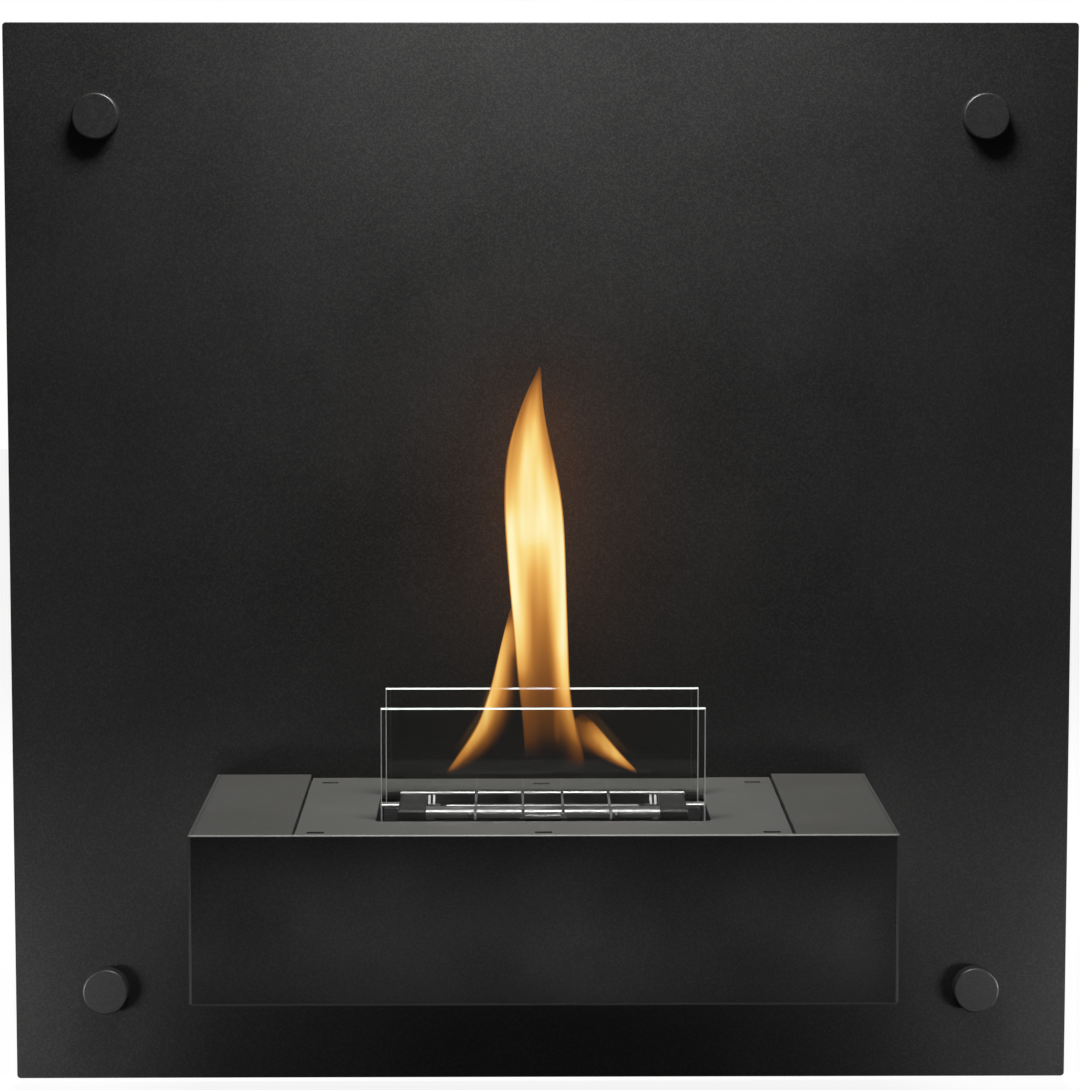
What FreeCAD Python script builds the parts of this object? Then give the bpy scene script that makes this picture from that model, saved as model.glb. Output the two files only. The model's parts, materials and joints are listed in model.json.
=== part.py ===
"""Wall-hung bioethanol fireplace.

A square steel plate hangs off the wall on four standoffs. A folded box on its front carries a burner
in a well, between two upright glass panes. Millimetres, +Z up, the front faces -Y. The origin is the
middle of the four wall fixings, on the wall.
"""
import FreeCAD, Part
import os
import re

import Sketcher
from FreeCAD import Placement, Rotation, Vector

# Driving dimensions: name, value in mm, what it measures

SIZES = [
    ("plate_width", 600, "back plate, left to right"),
    ("plate_height", 600, "back plate, bottom to top"),
    ("plate_thickness", 3, "back plate sheet"),
    ("plate_corner", 2, "rounding of the plate's corners"),
    ("plate_arris", 0.5, "broken edge round the plate's front"),
    ("standoff_gap", 20, "wall to the back of the plate"),
    ("fixing_inset", 52, "plate edge to the middle of a standoff"),
    ("barrel_diameter", 20, "standoff barrel"),
    ("barrel_floor", 3.5, "end of the barrel that lies on the wall"),
    ("wall_hole", 5.5, "hole for the wall screw"),
    ("washer_thickness", 1, "washer between barrel and plate"),
    ("cap_diameter", 26, "standoff cap"),
    ("cap_height", 8, "cap in front of the plate"),
    ("cap_edge", 1.2, "rounding of the cap's rim"),
    ("stud_diameter", 8, "stud behind the cap"),
    ("stud_reach", 10, "stud behind the plate"),
    ("stud_play", 0.05, "stud to barrel bore, each side"),
    ("hole_play", 0.5, "stud or screw to its hole in sheet, each side"),
    ("box_width", 368, "box, left to right"),
    ("box_depth", 160, "plate front to the box's front"),
    ("box_height", 90, "box, bottom to top"),
    ("box_foot", 86, "plate's lower edge to the underside of the box"),
    ("sheet", 2, "sheet of the box, rails and end covers"),
    ("bend_radius", 2, "outside of the box's bends"),
    ("edge_round", 0.8, "rounding of the box's upper edge"),
    ("flange_width", 20, "box flanges that lie on the plate"),
    ("flange_gap", 2, "box flange to the rear rail"),
    ("flange_screw_inset", 14, "end of a flange to its screw"),
    ("rail_screw_spread", 180, "screw to screw on the rear rail"),
    ("screw_diameter", 5, "screws that hold the box"),
    ("screw_head", 9, "screw head, across"),
    ("screw_head_height", 3, "screw head, high"),
    ("screw_socket", 3, "hexagon socket in a screw head, across the flats"),
    ("screw_socket_depth", 1.8, "hexagon socket in a screw head"),
    ("screw_tail", 1.5, "screw end past its nut"),
    ("nut_across", 8, "nut on the box screws, across the flats"),
    ("nut_height", 4, "nut on the box screws"),
    ("thread_play", 0.05, "screw or stud to its nut, each side"),
    ("pin_diameter", 4, "studs that hold the end covers"),
    ("pin_length", 8, "studs that hold the end covers"),
    ("pin_spread", 60, "stud to stud along one side"),
    ("pin_nut_across", 7, "nut on those studs, across the flats"),
    ("pin_nut_height", 3.2, "nut on those studs"),
    ("seam", 0.2, "drop-in panel to the wall beside it"),
    ("rail_drop", 16, "rail's upright leg"),
    ("rail_gap", 3.5, "rail to the flange of the well"),
    ("tab_width", 8, "tab on a rail"),
    ("tab_rise", 1.2, "tab above its rail"),
    ("tab_inset", 10.5, "end of the burner cover to the outer tabs' middle"),
    ("slot_play_side", 0.5, "tab to its slot along X"),
    ("slot_play_deep", 1, "tab to its slot along Y"),
    ("cover_width", 259, "burner cover, left to right"),
    ("cover_thickness", 2, "burner cover"),
    ("cover_drop", 2, "burner cover below the end covers"),
    ("cover_gap", 1, "burner cover to each end cover"),
    ("end_flange", 14, "down-turned flange of an end cover"),
    ("opening_width", 178, "opening in the burner cover"),
    ("opening_depth", 70, "opening in the burner cover"),
    ("opening_shift", 2, "opening's middle in front of the box's middle"),
    ("opening_corner", 3, "rounding of the opening's corners"),
    ("well_sheet", 1.5, "sheet of the well"),
    ("well_flange", 8, "well flange under the burner cover"),
    ("well_clearance", 20.5, "well to the box's floor"),
    ("glass_thickness", 4, "glass pane"),
    ("glass_end_gap", 3, "end of a pane to the opening's end"),
    ("glass_rise", 60, "pane above the burner cover"),
    ("glass_sink", 19, "pane below the burner cover's top"),
    ("glass_arris", 0.4, "ground edge of the panes"),
    ("glass_play", 0.3, "pane to its channel, each side"),
    ("channel_wall", 1.2, "wall of a glass channel"),
    ("channel_height", 14, "glass channel above its floor"),
    ("channel_end_gap", 2, "end of a channel to the well's end"),
    ("strip_thickness", 1, "soft strip under a pane"),
    ("burner_rise", 4, "burner's top above the burner cover"),
    ("burner_end_gap", 11.5, "burner to the opening's ends"),
    ("burner_side_gap", 5.5, "burner to the panes"),
    ("tank_wall", 1, "fuel tank sheet"),
    ("tank_inset", 1, "tank inside the edge of its top plate"),
    ("tank_corner", 2, "rounding of the tank's upright edges"),
    ("deck_thickness", 1.5, "top plate of the tank"),
    ("block_width", 15, "end block, left to right"),
    ("block_height", 5.5, "end block"),
    ("block_chamfer", 1.2, "chamfer round the top of an end block"),
    ("rear_rim_depth", 5, "rear rim, front to back"),
    ("rear_rim_rise", 1.2, "rear rim above the end blocks"),
    ("rear_rim_round", 2, "rounding of the rear rim's top"),
    ("front_rim_depth", 10, "front rim, front to back"),
    ("front_rim_round", 3, "rolled front edge of the front rim"),
    ("damper_thickness", 1.2, "damper plate and its lip"),
    ("damper_play", 0.1, "damper to the deck and to the front rim"),
    ("damper_side_play", 0.3, "damper to the springs"),
    ("damper_overlap", 4, "damper past the mouth's front edge when shut"),
    ("damper_margin", 2, "damper's front edge behind the burner's front when open"),
    ("lip_end_gap", 4, "lip of the damper to each end of the mouth"),
    ("lip_play", 0.3, "lip under the cross bars"),
    ("lip_bead", 1, "radius of the rolled edge on the lip"),
    ("tongue_width", 19, "tongue of the damper"),
    ("tongue_gap", 2, "tongue's end to the front pane"),
    ("hood_width", 18, "hood over the tongue, along its top"),
    ("hood_foot", 25, "hood over the tongue, along its underside"),
    ("hood_height", 2, "hood over the tongue, bottom to top"),
    ("hood_reach", 3.2, "hood in front of the front rim"),
    ("hood_round", 1.4, "rolled front edge of the hood"),
    ("mouth_end_cover", 2.4, "damper past each end of the mouth"),
    ("bar_end_gap", 19.7, "outer cross bar to the mouth's end"),
    ("bar_middle_gap", 21.5, "the two inner cross bars, middle to middle"),
    ("bar_width", 1.2, "cross bar, left to right"),
    ("bar_height", 1.2, "cross bar, bottom to top"),
    ("bar_drop", 0.4, "cross bars below the rims' tops"),
    ("bar_play", 0.2, "cross bar to its notch, each side"),
    ("bar_inset", 2, "cross bar's rear end in from the rear rim's back"),
    ("leg_drop", 4.5, "fall of the bent front end of an outer cross bar"),
    ("leg_reach", 3, "bent front end of an outer cross bar, front to back"),
    ("spring_sheet", 1, "spring strip, measured upright"),
    ("spring_prong", 1.3, "prong of a spring, left to right"),
    ("spring_gap", 1.2, "between the two prongs of a spring"),
    ("spring_height", 5, "spring above the deck"),
    ("spring_run", 6, "sloping prongs of a spring, front to back"),
    ("spring_foot", 3, "foot of a spring, front to back"),
    ("spring_play", 0.2, "spring to the end block and to the rear rim"),
    ("lug_width", 6, "end lug, front to back"),
    ("lug_sheet", 1.5, "end lug strip"),
    ("lug_drop", 26, "end lug, bottom to top"),
    ("lug_gap", 1, "end lug to the well's end"),
    ("lug_bend", 1.2, "outside of the lug's bend"),
    ("lug_round", 1, "rolled front edge of the lug"),
    ("rivet_diameter", 2.4, "rivet head on the front rim"),
    ("rivet_inset", 23.5, "rivet to the end block"),
    ("rivet_drop", 2.8, "rivet below the front rim's top"),
    ("block_headroom", 16, "ceramic block below the tank's top plate"),
    ("ceramic_play", 0.3, "ceramic block and screen to the tank's walls"),
    ("screen_thickness", 0.8, "perforated screen on the ceramic block"),
    ("screen_hole", 3, "hole in the screen"),
    ("screen_border", 6, "edge of the screen to the middles of the outer holes"),
]

# Places worked out from the driving dimensions

PLACES = {
    # the plate and its fixings
    "plate_front": "-(standoff_gap + plate_thickness)",
    "fixing_x": "plate_width / 2 - fixing_inset",
    "fixing_z": "plate_height / 2 - fixing_inset",
    "stud_hole": "stud_diameter / 2 + hole_play",
    # the box
    "box_floor": "-plate_height / 2 + box_foot",
    "box_top": "box_floor + box_height",
    "box_front": "plate_front - box_depth",
    "box_inner_front": "box_front + sheet",
    "box_inner_x": "box_width / 2 - sheet",
    "box_middle": "plate_front - box_depth / 2",
    # the covers and rails
    "cover_top": "box_top - cover_drop",
    "rail_top": "cover_top - cover_thickness",
    "rail_x": "box_inner_x - seam",
    "rail_leg": "(box_depth - opening_depth) / 2 - opening_shift"
                " - sheet - well_sheet - well_flange - rail_gap",
    "rear_rail_edge": "plate_front - rail_leg",
    "front_rail_edge": "box_inner_front + rail_leg",
    "tab_x": "cover_width / 2 - tab_inset",
    "end_cover_in": "cover_width / 2 + cover_gap",
    "end_cover_out": "box_inner_x - seam",
    "flange_floor": "box_floor + sheet",
    "flange_top": "rail_top - rail_drop - flange_gap",
    "flange_screw_x": "box_inner_x - flange_width / 2",
    "rail_screw_z": "rail_top - rail_drop / 2 - sheet / 2",
    "pin_z": "rail_top - (end_flange - cover_drop) / 2",
    # the well, the glass and the channels it stands in
    "burner_middle": "box_middle - opening_shift",
    "well_x": "opening_width / 2",
    "well_y": "opening_depth / 2",
    "well_floor": "box_floor + sheet + well_clearance + well_sheet",
    "glass_offset": "well_y - channel_wall - glass_play - glass_thickness / 2",
    "glass_x": "well_x - glass_end_gap",
    "glass_foot": "cover_top - glass_sink",
    "channel_floor": "glass_foot - strip_thickness",
    # the burner
    "burner_top": "cover_top + burner_rise",
    "deck": "burner_top - block_height",
    "burner_x": "well_x - burner_end_gap",
    "burner_y": "glass_offset - glass_thickness / 2 - burner_side_gap",
    "burner_back": "burner_middle + burner_y",
    "burner_front": "burner_middle - burner_y",
    "tank_x": "burner_x - tank_inset",
    "tank_y": "burner_y - tank_inset",
    "mouth_depth": "(2 * burner_y - rear_rim_depth - damper_overlap - damper_margin) / 2",
    "mouth_back": "burner_back - rear_rim_depth",
    "mouth_front": "mouth_back - mouth_depth",
    "block_in": "burner_x - block_width",
    "spring_out": "block_in - spring_play",
    "spring_in": "spring_out - 2 * spring_prong - spring_gap",
    "damper_x": "spring_in - damper_side_play",
    "damper_floor": "deck + damper_play",
    "damper_top": "damper_floor + damper_thickness",
    "mouth_x": "damper_x - mouth_end_cover",
    "lip_x": "mouth_x - lip_end_gap",
    "lip_top": "bar_floor - lip_play",
    "bar_top": "burner_top - bar_drop",
    "bar_floor": "bar_top - bar_height",
    "rim_floor": "damper_top + damper_play",
    "notch_half": "bar_width / 2 + bar_play",
    "ceramic_top": "deck - deck_thickness - block_headroom",
    "screen_x": "tank_x - tank_wall - ceramic_play",
    "screen_y": "tank_y - tank_wall - ceramic_play",
    "screen_reach_x": "screen_x - screen_border",
    "screen_reach_y": "screen_y - screen_border",
}

SCREEN_COLUMNS = 20
SCREEN_ROWS = 5
CORNERS = {"upper_left": ("-", ""), "upper_right": ("", ""),
           "lower_left": ("-", "-"), "lower_right": ("", "-")}
SIDES = {"left": "-", "right": ""}
NEAR = 1e-4

doc = FreeCAD.newDocument("bioethanol_fireplace")
table = doc.addObject("Spreadsheet::Sheet", "sizes")
for row, (alias, value, meaning) in enumerate(SIZES, start=1):
    table.set(f"A{row}", meaning)
    table.set(f"B{row}", str(value))
    table.setAlias(f"B{row}", alias)
doc.recompute()

NAMES = {alias for alias, value, meaning in SIZES}
nodes = []


# Expressions

def expand(text):
    """Writes an expression in terms of the sheet's cells, with each place put in brackets."""
    def swap(match):
        word = match.group(0)
        if word in PLACES:
            return f"({expand(PLACES[word])})"
        return f"sizes.{word}" if word in NAMES else word
    return re.sub(r"[a-z][a-z_]*", swap, text)


def bind(item, prop, text):
    """Ties one property of an object to the sheet."""
    item.setExpression(prop, expand(text))


def keep(item, label):
    """Names a finished sub-part and puts it on the list that is written out."""
    item.Label = label
    nodes.append(item)
    return item


# Primitives and booleans

def slab(name, x, y, z):
    """A box between a low and a high expression along each axis."""
    item = doc.addObject("Part::Box", name)
    for prop, axis, (low, high) in (("Length", "x", x), ("Width", "y", y), ("Height", "z", z)):
        bind(item, prop, f"({high}) - ({low})")
        bind(item, f"Placement.Base.{axis}", low)
    return item


def rod(name, along, radius, low, high, at):
    """A cylinder along an axis, from low to high, with its other two coordinates in X, Y, Z order."""
    turn = {"x": Rotation(Vector(0, 1, 0), 90), "y": Rotation(Vector(1, 0, 0), -90), "z": Rotation()}
    item = doc.addObject("Part::Cylinder", name)
    item.Placement = Placement(Vector(), turn[along])
    bind(item, "Radius", radius)
    bind(item, "Height", f"({high}) - ({low})")
    others = [axis for axis in "xyz" if axis != along]
    bind(item, f"Placement.Base.{along}", low)
    for axis, place in zip(others, at):
        bind(item, f"Placement.Base.{axis}", place)
    return item


def hexagon(name, along, across, low, high, at):
    """A six-sided bar along X or Y, from low to high, with its other two coordinates in X, Y, Z order."""
    turn = {"x": Rotation(Vector(0, 1, 0), 90), "y": Rotation(Vector(1, 0, 0), -90)}
    item = doc.addObject("Part::Prism", name)
    item.Polygon = 6
    item.Placement = Placement(Vector(), turn[along])
    bind(item, "Circumradius", f"{across} / sqrt(3)")
    bind(item, "Height", f"({high}) - ({low})")
    others = [axis for axis in "xyz" if axis != along]
    bind(item, f"Placement.Base.{along}", low)
    for axis, place in zip(others, at):
        bind(item, f"Placement.Base.{axis}", place)
    return item


def nut(name, along, across, bore, low, high, at):
    """A hexagon nut with a plain bore."""
    blank = hexagon(f"{name}_hexagon", along, across, low, high, at)
    return cut(name, blank, rod(f"{name}_bore", along, bore, low, high, at))


def dome(name, radius, at):
    """A half ball that bulges to the front, with the middle of its flat side in X, Y, Z order."""
    item = doc.addObject("Part::Sphere", name)
    item.Angle1 = 0
    item.Placement = Placement(Vector(), Rotation(Vector(1, 0, 0), 90))
    bind(item, "Radius", radius)
    for axis, place in zip("xyz", at):
        bind(item, f"Placement.Base.{axis}", place)
    return item


def cut(name, base, tool):
    """Takes the tool away from the base."""
    item = doc.addObject("Part::Cut", name)
    item.Base = base
    item.Tool = tool
    item.Refine = True
    return item


def fuse(name, *shapes):
    """Joins shapes into one solid."""
    item = doc.addObject("Part::MultiFuse", name)
    item.Shapes = list(shapes)
    item.Refine = True
    return item


def group(name, *shapes):
    """Keeps separate solids together."""
    item = doc.addObject("Part::Compound", name)
    item.Links = list(shapes)
    return item


def mirrored(name, source, normal):
    """A copy of a shape on the other side of the plane through the origin."""
    item = doc.addObject("Part::Mirroring", name)
    item.Source = source
    item.Base = Vector(0, 0, 0)
    item.Normal = normal
    return item


def both_sides(name, source):
    """A shape and its copy across the middle, left and right."""
    return group(name, source, mirrored(f"{name}_across", source, Vector(1, 0, 0)))


def four_corners(name, source):
    """A shape and its copies at the other three fixings."""
    pair = both_sides(f"{name}_pair", source)
    return group(name, pair, mirrored(f"{name}_below", pair, Vector(0, 0, 1)))


# Bodies made from sketches

def plane_of(body, role):
    """One of the body's own origin planes."""
    return next(item for item in body.Origin.OriginFeatures if item.Role == role)


def sketch(body, name, role, offset, loops=(), circles=()):
    """A sketch whose corners and circle centres are tied to the sheet.

    role is the origin plane, offset is the distance along its normal. A loop is a list of corners, and a
    circle is its centre and radius, all as expressions.
    """
    item = body.newObject("Sketcher::SketchObject", name)
    item.AttachmentSupport = [(plane_of(body, role), "")]
    item.MapMode = "FlatFace"
    bind(item, "AttachmentOffset.Base.z", offset)

    def lock(geometry, point, place):
        for kind, text in zip(("DistanceX", "DistanceY"), place):
            index = item.addConstraint(Sketcher.Constraint(kind, geometry, point, 1.0))
            item.setExpression(f"Constraints[{index}]", expand(text))

    for loop in loops:
        count = len(loop)
        ring = [Vector(1, 0, 0), Vector(1, 1, 0), Vector(0, 1, 0), Vector(0, 0, 0)]
        if count != len(ring):
            turn = [Rotation(Vector(0, 0, 1), 360 * step / count) for step in range(count)]
            ring = [step.multVec(Vector(1, 0, 0)) for step in turn]
        lines = [item.addGeometry(Part.LineSegment(ring[i], ring[(i + 1) % count])) for i in range(count)]
        for i in range(count):
            item.addConstraint(Sketcher.Constraint("Coincident", lines[i], 2, lines[(i + 1) % count], 1))
        for line, corner in zip(lines, loop):
            lock(line, 1, corner)
    for x, y, radius in circles:
        geometry = item.addGeometry(Part.Circle(Vector(0, 0, 0), Vector(0, 0, 1), 1.0))
        lock(geometry, 3, (x, y))
        index = item.addConstraint(Sketcher.Constraint("Radius", geometry, 1.0))
        item.setExpression(f"Constraints[{index}]", expand(radius))
    doc.recompute()
    return item


def rectangle(low_x, high_x, low_y, high_y):
    """The corners of a rectangle, as a loop for a sketch."""
    return [(high_x, low_y), (high_x, high_y), (low_x, high_y), (low_x, low_y)]


def new_body(name):
    """An empty body."""
    return doc.addObject("PartDesign::Body", name)


def pad(body, name, profile, length, reverse=False):
    """Raises a sketch along its normal."""
    item = body.newObject("PartDesign::Pad", name)
    item.Profile = profile
    item.Reversed = reverse
    bind(item, "Length", length)
    doc.recompute()
    return item


def pocket(body, name, profile, length):
    """Sinks a sketch against its normal, and makes sure that it took material away."""
    before = body.Shape.Volume
    item = body.newObject("PartDesign::Pocket", name)
    item.Profile = profile
    bind(item, "Length", length)
    doc.recompute()
    if not body.Shape.Volume < before - NEAR:
        raise RuntimeError(f"{name} cuts nothing")
    return item


def revolve(body, name, profile):
    """Turns a sketch on the XY plane round the Y axis."""
    item = body.newObject("PartDesign::Revolution", name)
    item.Profile = profile
    item.ReferenceAxis = (profile, ["V_Axis"])
    item.Angle = 360
    doc.recompute()
    return item


def ease(body, name, kind, base, chosen, size):
    """Rounds or chamfers the edges of a feature that a test picks out."""
    names = [f"Edge{i}" for i, edge in enumerate(base.Shape.Edges, start=1) if chosen(edge)]
    item = body.newObject(f"PartDesign::{kind}", name)
    item.Base = (base, names)
    bind(item, "Radius" if kind == "Fillet" else "Size", size)
    doc.recompute()
    return item


def runs(edge, axis):
    """True for a straight edge along an axis."""
    ends = [vertex.Point for vertex in edge.Vertexes]
    if len(ends) != 2 or not isinstance(edge.Curve, Part.Line):
        return False
    step = ends[1] - ends[0]
    return all(abs(getattr(step, other)) < NEAR for other in "xyz" if other != axis)


def at(edge, axis, level):
    """True for an edge that lies wholly at one level of an axis."""
    box = edge.BoundBox
    low, high = getattr(box, f"{axis.upper()}Min"), getattr(box, f"{axis.upper()}Max")
    return abs(low - level) < NEAR and abs(high - level) < NEAR


def front_top(box):
    """A test that picks the straight edge along the top of a box's front."""
    return lambda edge: runs(edge, "x") and at(edge, "z", box.ZMax) and at(edge, "y", box.YMin)


# The plate and its standoffs

def make_back_plate():
    """Square plate with holes for the standoff studs and the box screws."""
    body = new_body("back_plate")
    outline = sketch(body, "plate_outline", "XZ_Plane", "standoff_gap", [rectangle(
        "-plate_width / 2", "plate_width / 2", "-plate_height / 2", "plate_height / 2")])
    blank = pad(body, "plate_blank", outline, "plate_thickness")
    rounded = ease(body, "plate_corners", "Fillet", blank, lambda edge: runs(edge, "y"), "plate_corner")
    face = min(vertex.Y for vertex in rounded.Shape.Vertexes)
    ease(body, "plate_front_edge", "Chamfer", rounded, lambda edge: at(edge, "y", face), "plate_arris")
    studs = [(f"{sx}(fixing_x)", f"{sz}(fixing_z)", "stud_hole") for sx, sz in CORNERS.values()]
    screws = [(f"{sx}({x})", z, "screw_diameter / 2 + hole_play")
              for x, z in screw_places() for sx in SIDES.values()]
    holes = sketch(body, "plate_holes", "XZ_Plane", "standoff_gap + plate_thickness", circles=studs + screws)
    pocket(body, "plate_drilling", holes, "plate_thickness")
    keep(body, "back_plate")


def screw_places():
    """X and Z of the box screws on the right half: two on the flange and one on the rear rail."""
    return [
        ("flange_screw_x", "flange_floor + flange_screw_inset"),
        ("flange_screw_x", "flange_top - flange_screw_inset"),
        ("rail_screw_spread / 2", "rail_screw_z"),
    ]


def make_standoffs():
    """A barrel and a cap with its stud at each fixing, and the washers."""
    for corner, (sx, sz) in CORNERS.items():
        barrel = new_body(f"standoff_barrel_{corner}")
        bore = "stud_diameter / 2 + stud_play"
        mouth = "-(standoff_gap - washer_thickness)"
        wall = [("wall_hole / 2", "0"), ("barrel_diameter / 2", "0"), ("barrel_diameter / 2", mouth),
                (bore, mouth), (bore, "-barrel_floor"), ("wall_hole / 2", "-barrel_floor")]
        profile = sketch(barrel, f"barrel_profile_{corner}", "XY_Plane", "0", [wall])
        revolve(barrel, f"barrel_turning_{corner}", profile)

        cap = new_body(f"standoff_cap_{corner}")
        front = "plate_front - cap_height"
        tip = "-standoff_gap + stud_reach"
        wall = [("0", front), ("cap_diameter / 2", front), ("cap_diameter / 2", "plate_front"),
                ("stud_diameter / 2", "plate_front"), ("stud_diameter / 2", tip), ("0", tip)]
        profile = sketch(cap, f"cap_profile_{corner}", "XY_Plane", "0", [wall])
        turned = revolve(cap, f"cap_turning_{corner}", profile)
        face = min(vertex.Y for vertex in turned.Shape.Vertexes)
        ease(cap, f"cap_rim_{corner}", "Fillet", turned, lambda edge: at(edge, "y", face), "cap_edge")

        for body, label in ((barrel, f"standoff_barrel_{corner}"), (cap, f"standoff_cap_{corner}")):
            bind(body, "Placement.Base.x", f"{sx}(fixing_x)")
            bind(body, "Placement.Base.z", f"{sz}(fixing_z)")
            keep(body, label)

    low, high = "-standoff_gap", "-standoff_gap + washer_thickness"
    place = ("fixing_x", "fixing_z")
    disc = rod("washer_disc", "y", "barrel_diameter / 2", low, high, place)
    hole = rod("washer_hole", "y", "stud_hole", low, high, place)
    keep(four_corners("standoff_washers", cut("washer", disc, hole)), "standoff_washers")


# The box

def make_box_shell():
    """Folded front, sides and floor, flanges that lie on the plate, and studs for the end covers."""
    body = new_body("box_shell")
    outline = sketch(body, "box_outline", "XY_Plane", "box_floor", [rectangle(
        "-box_width / 2", "box_width / 2", "box_front", "plate_front")])
    blank = pad(body, "box_blank", outline, "box_height")
    bounds = blank.Shape.BoundBox

    def bends(edge):
        rear = at(edge, "y", bounds.YMax)
        return not rear and not at(edge, "z", bounds.ZMax)

    folded = ease(body, "box_bends", "Fillet", blank, bends, "bend_radius")
    ease(body, "box_upper_edge", "Fillet", folded, lambda edge: at(edge, "z", bounds.ZMax)
         and not at(edge, "y", bounds.YMax), "edge_round")
    inside = sketch(body, "box_inside", "XY_Plane", "box_top", [rectangle(
        "-(box_inner_x)", "box_inner_x", "box_inner_front", "plate_front")])
    pocket(body, "box_hollow", inside, "box_height - sheet")
    flanges = sketch(body, "box_flange_outline", "XZ_Plane", "-(plate_front)", [
        rectangle(f"{sign}(box_inner_x)", f"{sign}(box_inner_x - flange_width)", "flange_floor", "flange_top")
        for sign in SIDES.values()])
    pad(body, "box_flanges", flanges, "sheet")
    holes = sketch(body, "box_flange_hole_outline", "XZ_Plane", "-(plate_front) + sheet", circles=[
        (f"{sign}({x})", z, "screw_diameter / 2 + hole_play")
        for x, z in screw_places()[:2] for sign in SIDES.values()])
    pocket(body, "box_flange_holes", holes, "sheet")
    for side, sign in SIDES.items():
        studs = sketch(body, f"box_stud_outline_{side}", "YZ_Plane", f"{sign}(box_inner_x)", circles=[
            (f"box_middle {way} pin_spread / 2", "pin_z", "pin_diameter / 2") for way in "+-"])
        pad(body, f"box_studs_{side}", studs, "pin_length", reverse=side == "right")
    keep(body, "box_shell")


def make_box_fasteners():
    """Screws through the plate with nuts inside the box, and the nuts of the end covers."""
    screws = []
    nuts = []
    seat = "plate_front - sheet"
    face = "-standoff_gap + screw_head_height"
    for index, (x, z) in enumerate(screw_places()):
        head = rod(f"screw_head_{index}", "y", "screw_head / 2", "-standoff_gap", face, (x, z))
        shank = rod(f"screw_shank_{index}", "y", "screw_diameter / 2",
                    f"{seat} - nut_height - screw_tail", "-standoff_gap", (x, z))
        socket = hexagon(f"screw_socket_{index}", "y", "screw_socket",
                         f"{face} - screw_socket_depth", face, (x, z))
        screws.append(cut(f"screw_{index}", fuse(f"screw_blank_{index}", head, shank), socket))
        nuts.append(nut(f"nut_{index}", "y", "nut_across", "screw_diameter / 2 + thread_play",
                        f"{seat} - nut_height", seat, (x, z)))
    keep(both_sides("box_screws", group("screws_right", *screws)), "box_screws")
    keep(both_sides("box_nuts", group("nuts_right", *nuts)), "box_nuts")
    seat = "end_cover_out - sheet"
    pins = [nut(f"pin_nut_{index}", "x", "pin_nut_across", "pin_diameter / 2 + thread_play",
                f"{seat} - pin_nut_height", seat, (f"box_middle {way} pin_spread / 2", "pin_z"))
            for index, way in enumerate("+-")]
    keep(both_sides("end_cover_nuts", group("pin_nuts_right", *pins)), "end_cover_nuts")


def make_rails():
    """Angle rails under the covers, each with three tabs that enter the burner cover's slots."""
    span = ("-(rail_x)", "rail_x")
    drop = ("rail_top - rail_drop", "rail_top")
    legs = {
        "front_rail": (("box_inner_front", "box_inner_front + sheet"),
                       ("box_inner_front", "front_rail_edge")),
        "rear_rail": (("plate_front - sheet", "plate_front"), ("rear_rail_edge", "plate_front")),
    }
    for name, (upright, flat) in legs.items():
        web = slab(f"{name}_web", span, upright, drop)
        shelf = slab(f"{name}_shelf", span, flat, ("rail_top - sheet", "rail_top"))
        tabs = [slab(f"{name}_tab_{index}", (f"{x} - tab_width / 2", f"{x} + tab_width / 2"),
                     tab_depth(flat, "sheet / 2"), ("rail_top - sheet", "rail_top + tab_rise"))
                for index, x in enumerate(tab_columns())]
        rail = fuse(f"{name}_blank", web, shelf, *tabs)
        if name == "rear_rail":
            hole = rod("rear_rail_hole", "y", "screw_diameter / 2 + hole_play",
                       *upright, ("rail_screw_spread / 2", "rail_screw_z"))
            rail = cut(f"{name}_drilled", rail, both_sides("rear_rail_holes", hole))
        keep(rail, name)


def tab_columns():
    """X of the three tabs on each rail."""
    return ["-(tab_x)", "0", "tab_x"]


def tab_depth(flat, half):
    """The Y range of a tab or a slot, about the middle of a rail's shelf."""
    low, high = flat
    middle = f"(({low}) + ({high})) / 2"
    return f"{middle} - ({half})", f"{middle} + ({half})"


def make_end_covers():
    """Left and right covers: a flat top with two down-turned flanges that sit on the rails."""
    depth = ("box_inner_front + seam", "plate_front - seam")
    between = ("front_rail_edge + rail_gap", "rear_rail_edge - rail_gap")
    for side, sign in SIDES.items():
        name = f"{side}_end_cover"

        def across(near, far):
            return (f"-({far})", f"-({near})") if sign else (near, far)

        top = slab(f"{name}_top", across("end_cover_in", "end_cover_out"), depth,
                   ("box_top - sheet", "box_top"))
        walls = []
        for edge, near, far in (("inner", "end_cover_in", "end_cover_in + sheet"),
                                ("outer", "end_cover_out - sheet", "end_cover_out")):
            walls.append(slab(f"{name}_{edge}_foot", across(near, far), depth,
                              ("rail_top", "box_top - sheet")))
            walls.append(slab(f"{name}_{edge}_flange", across(near, far), between,
                              ("box_top - sheet - end_flange", "rail_top")))
        low, high = across("end_cover_out - sheet", "end_cover_out")
        holes = [rod(f"{name}_hole_{index}", "x", "pin_diameter / 2 + hole_play", low, high,
                     (f"box_middle {way} pin_spread / 2", "pin_z")) for index, way in enumerate("+-")]
        blank = fuse(f"{name}_blank", top, *walls)
        keep(cut(f"{name}_drilled", blank, group(f"{name}_holes", *holes)), name)


# The burner cover, the well and the glass

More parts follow.
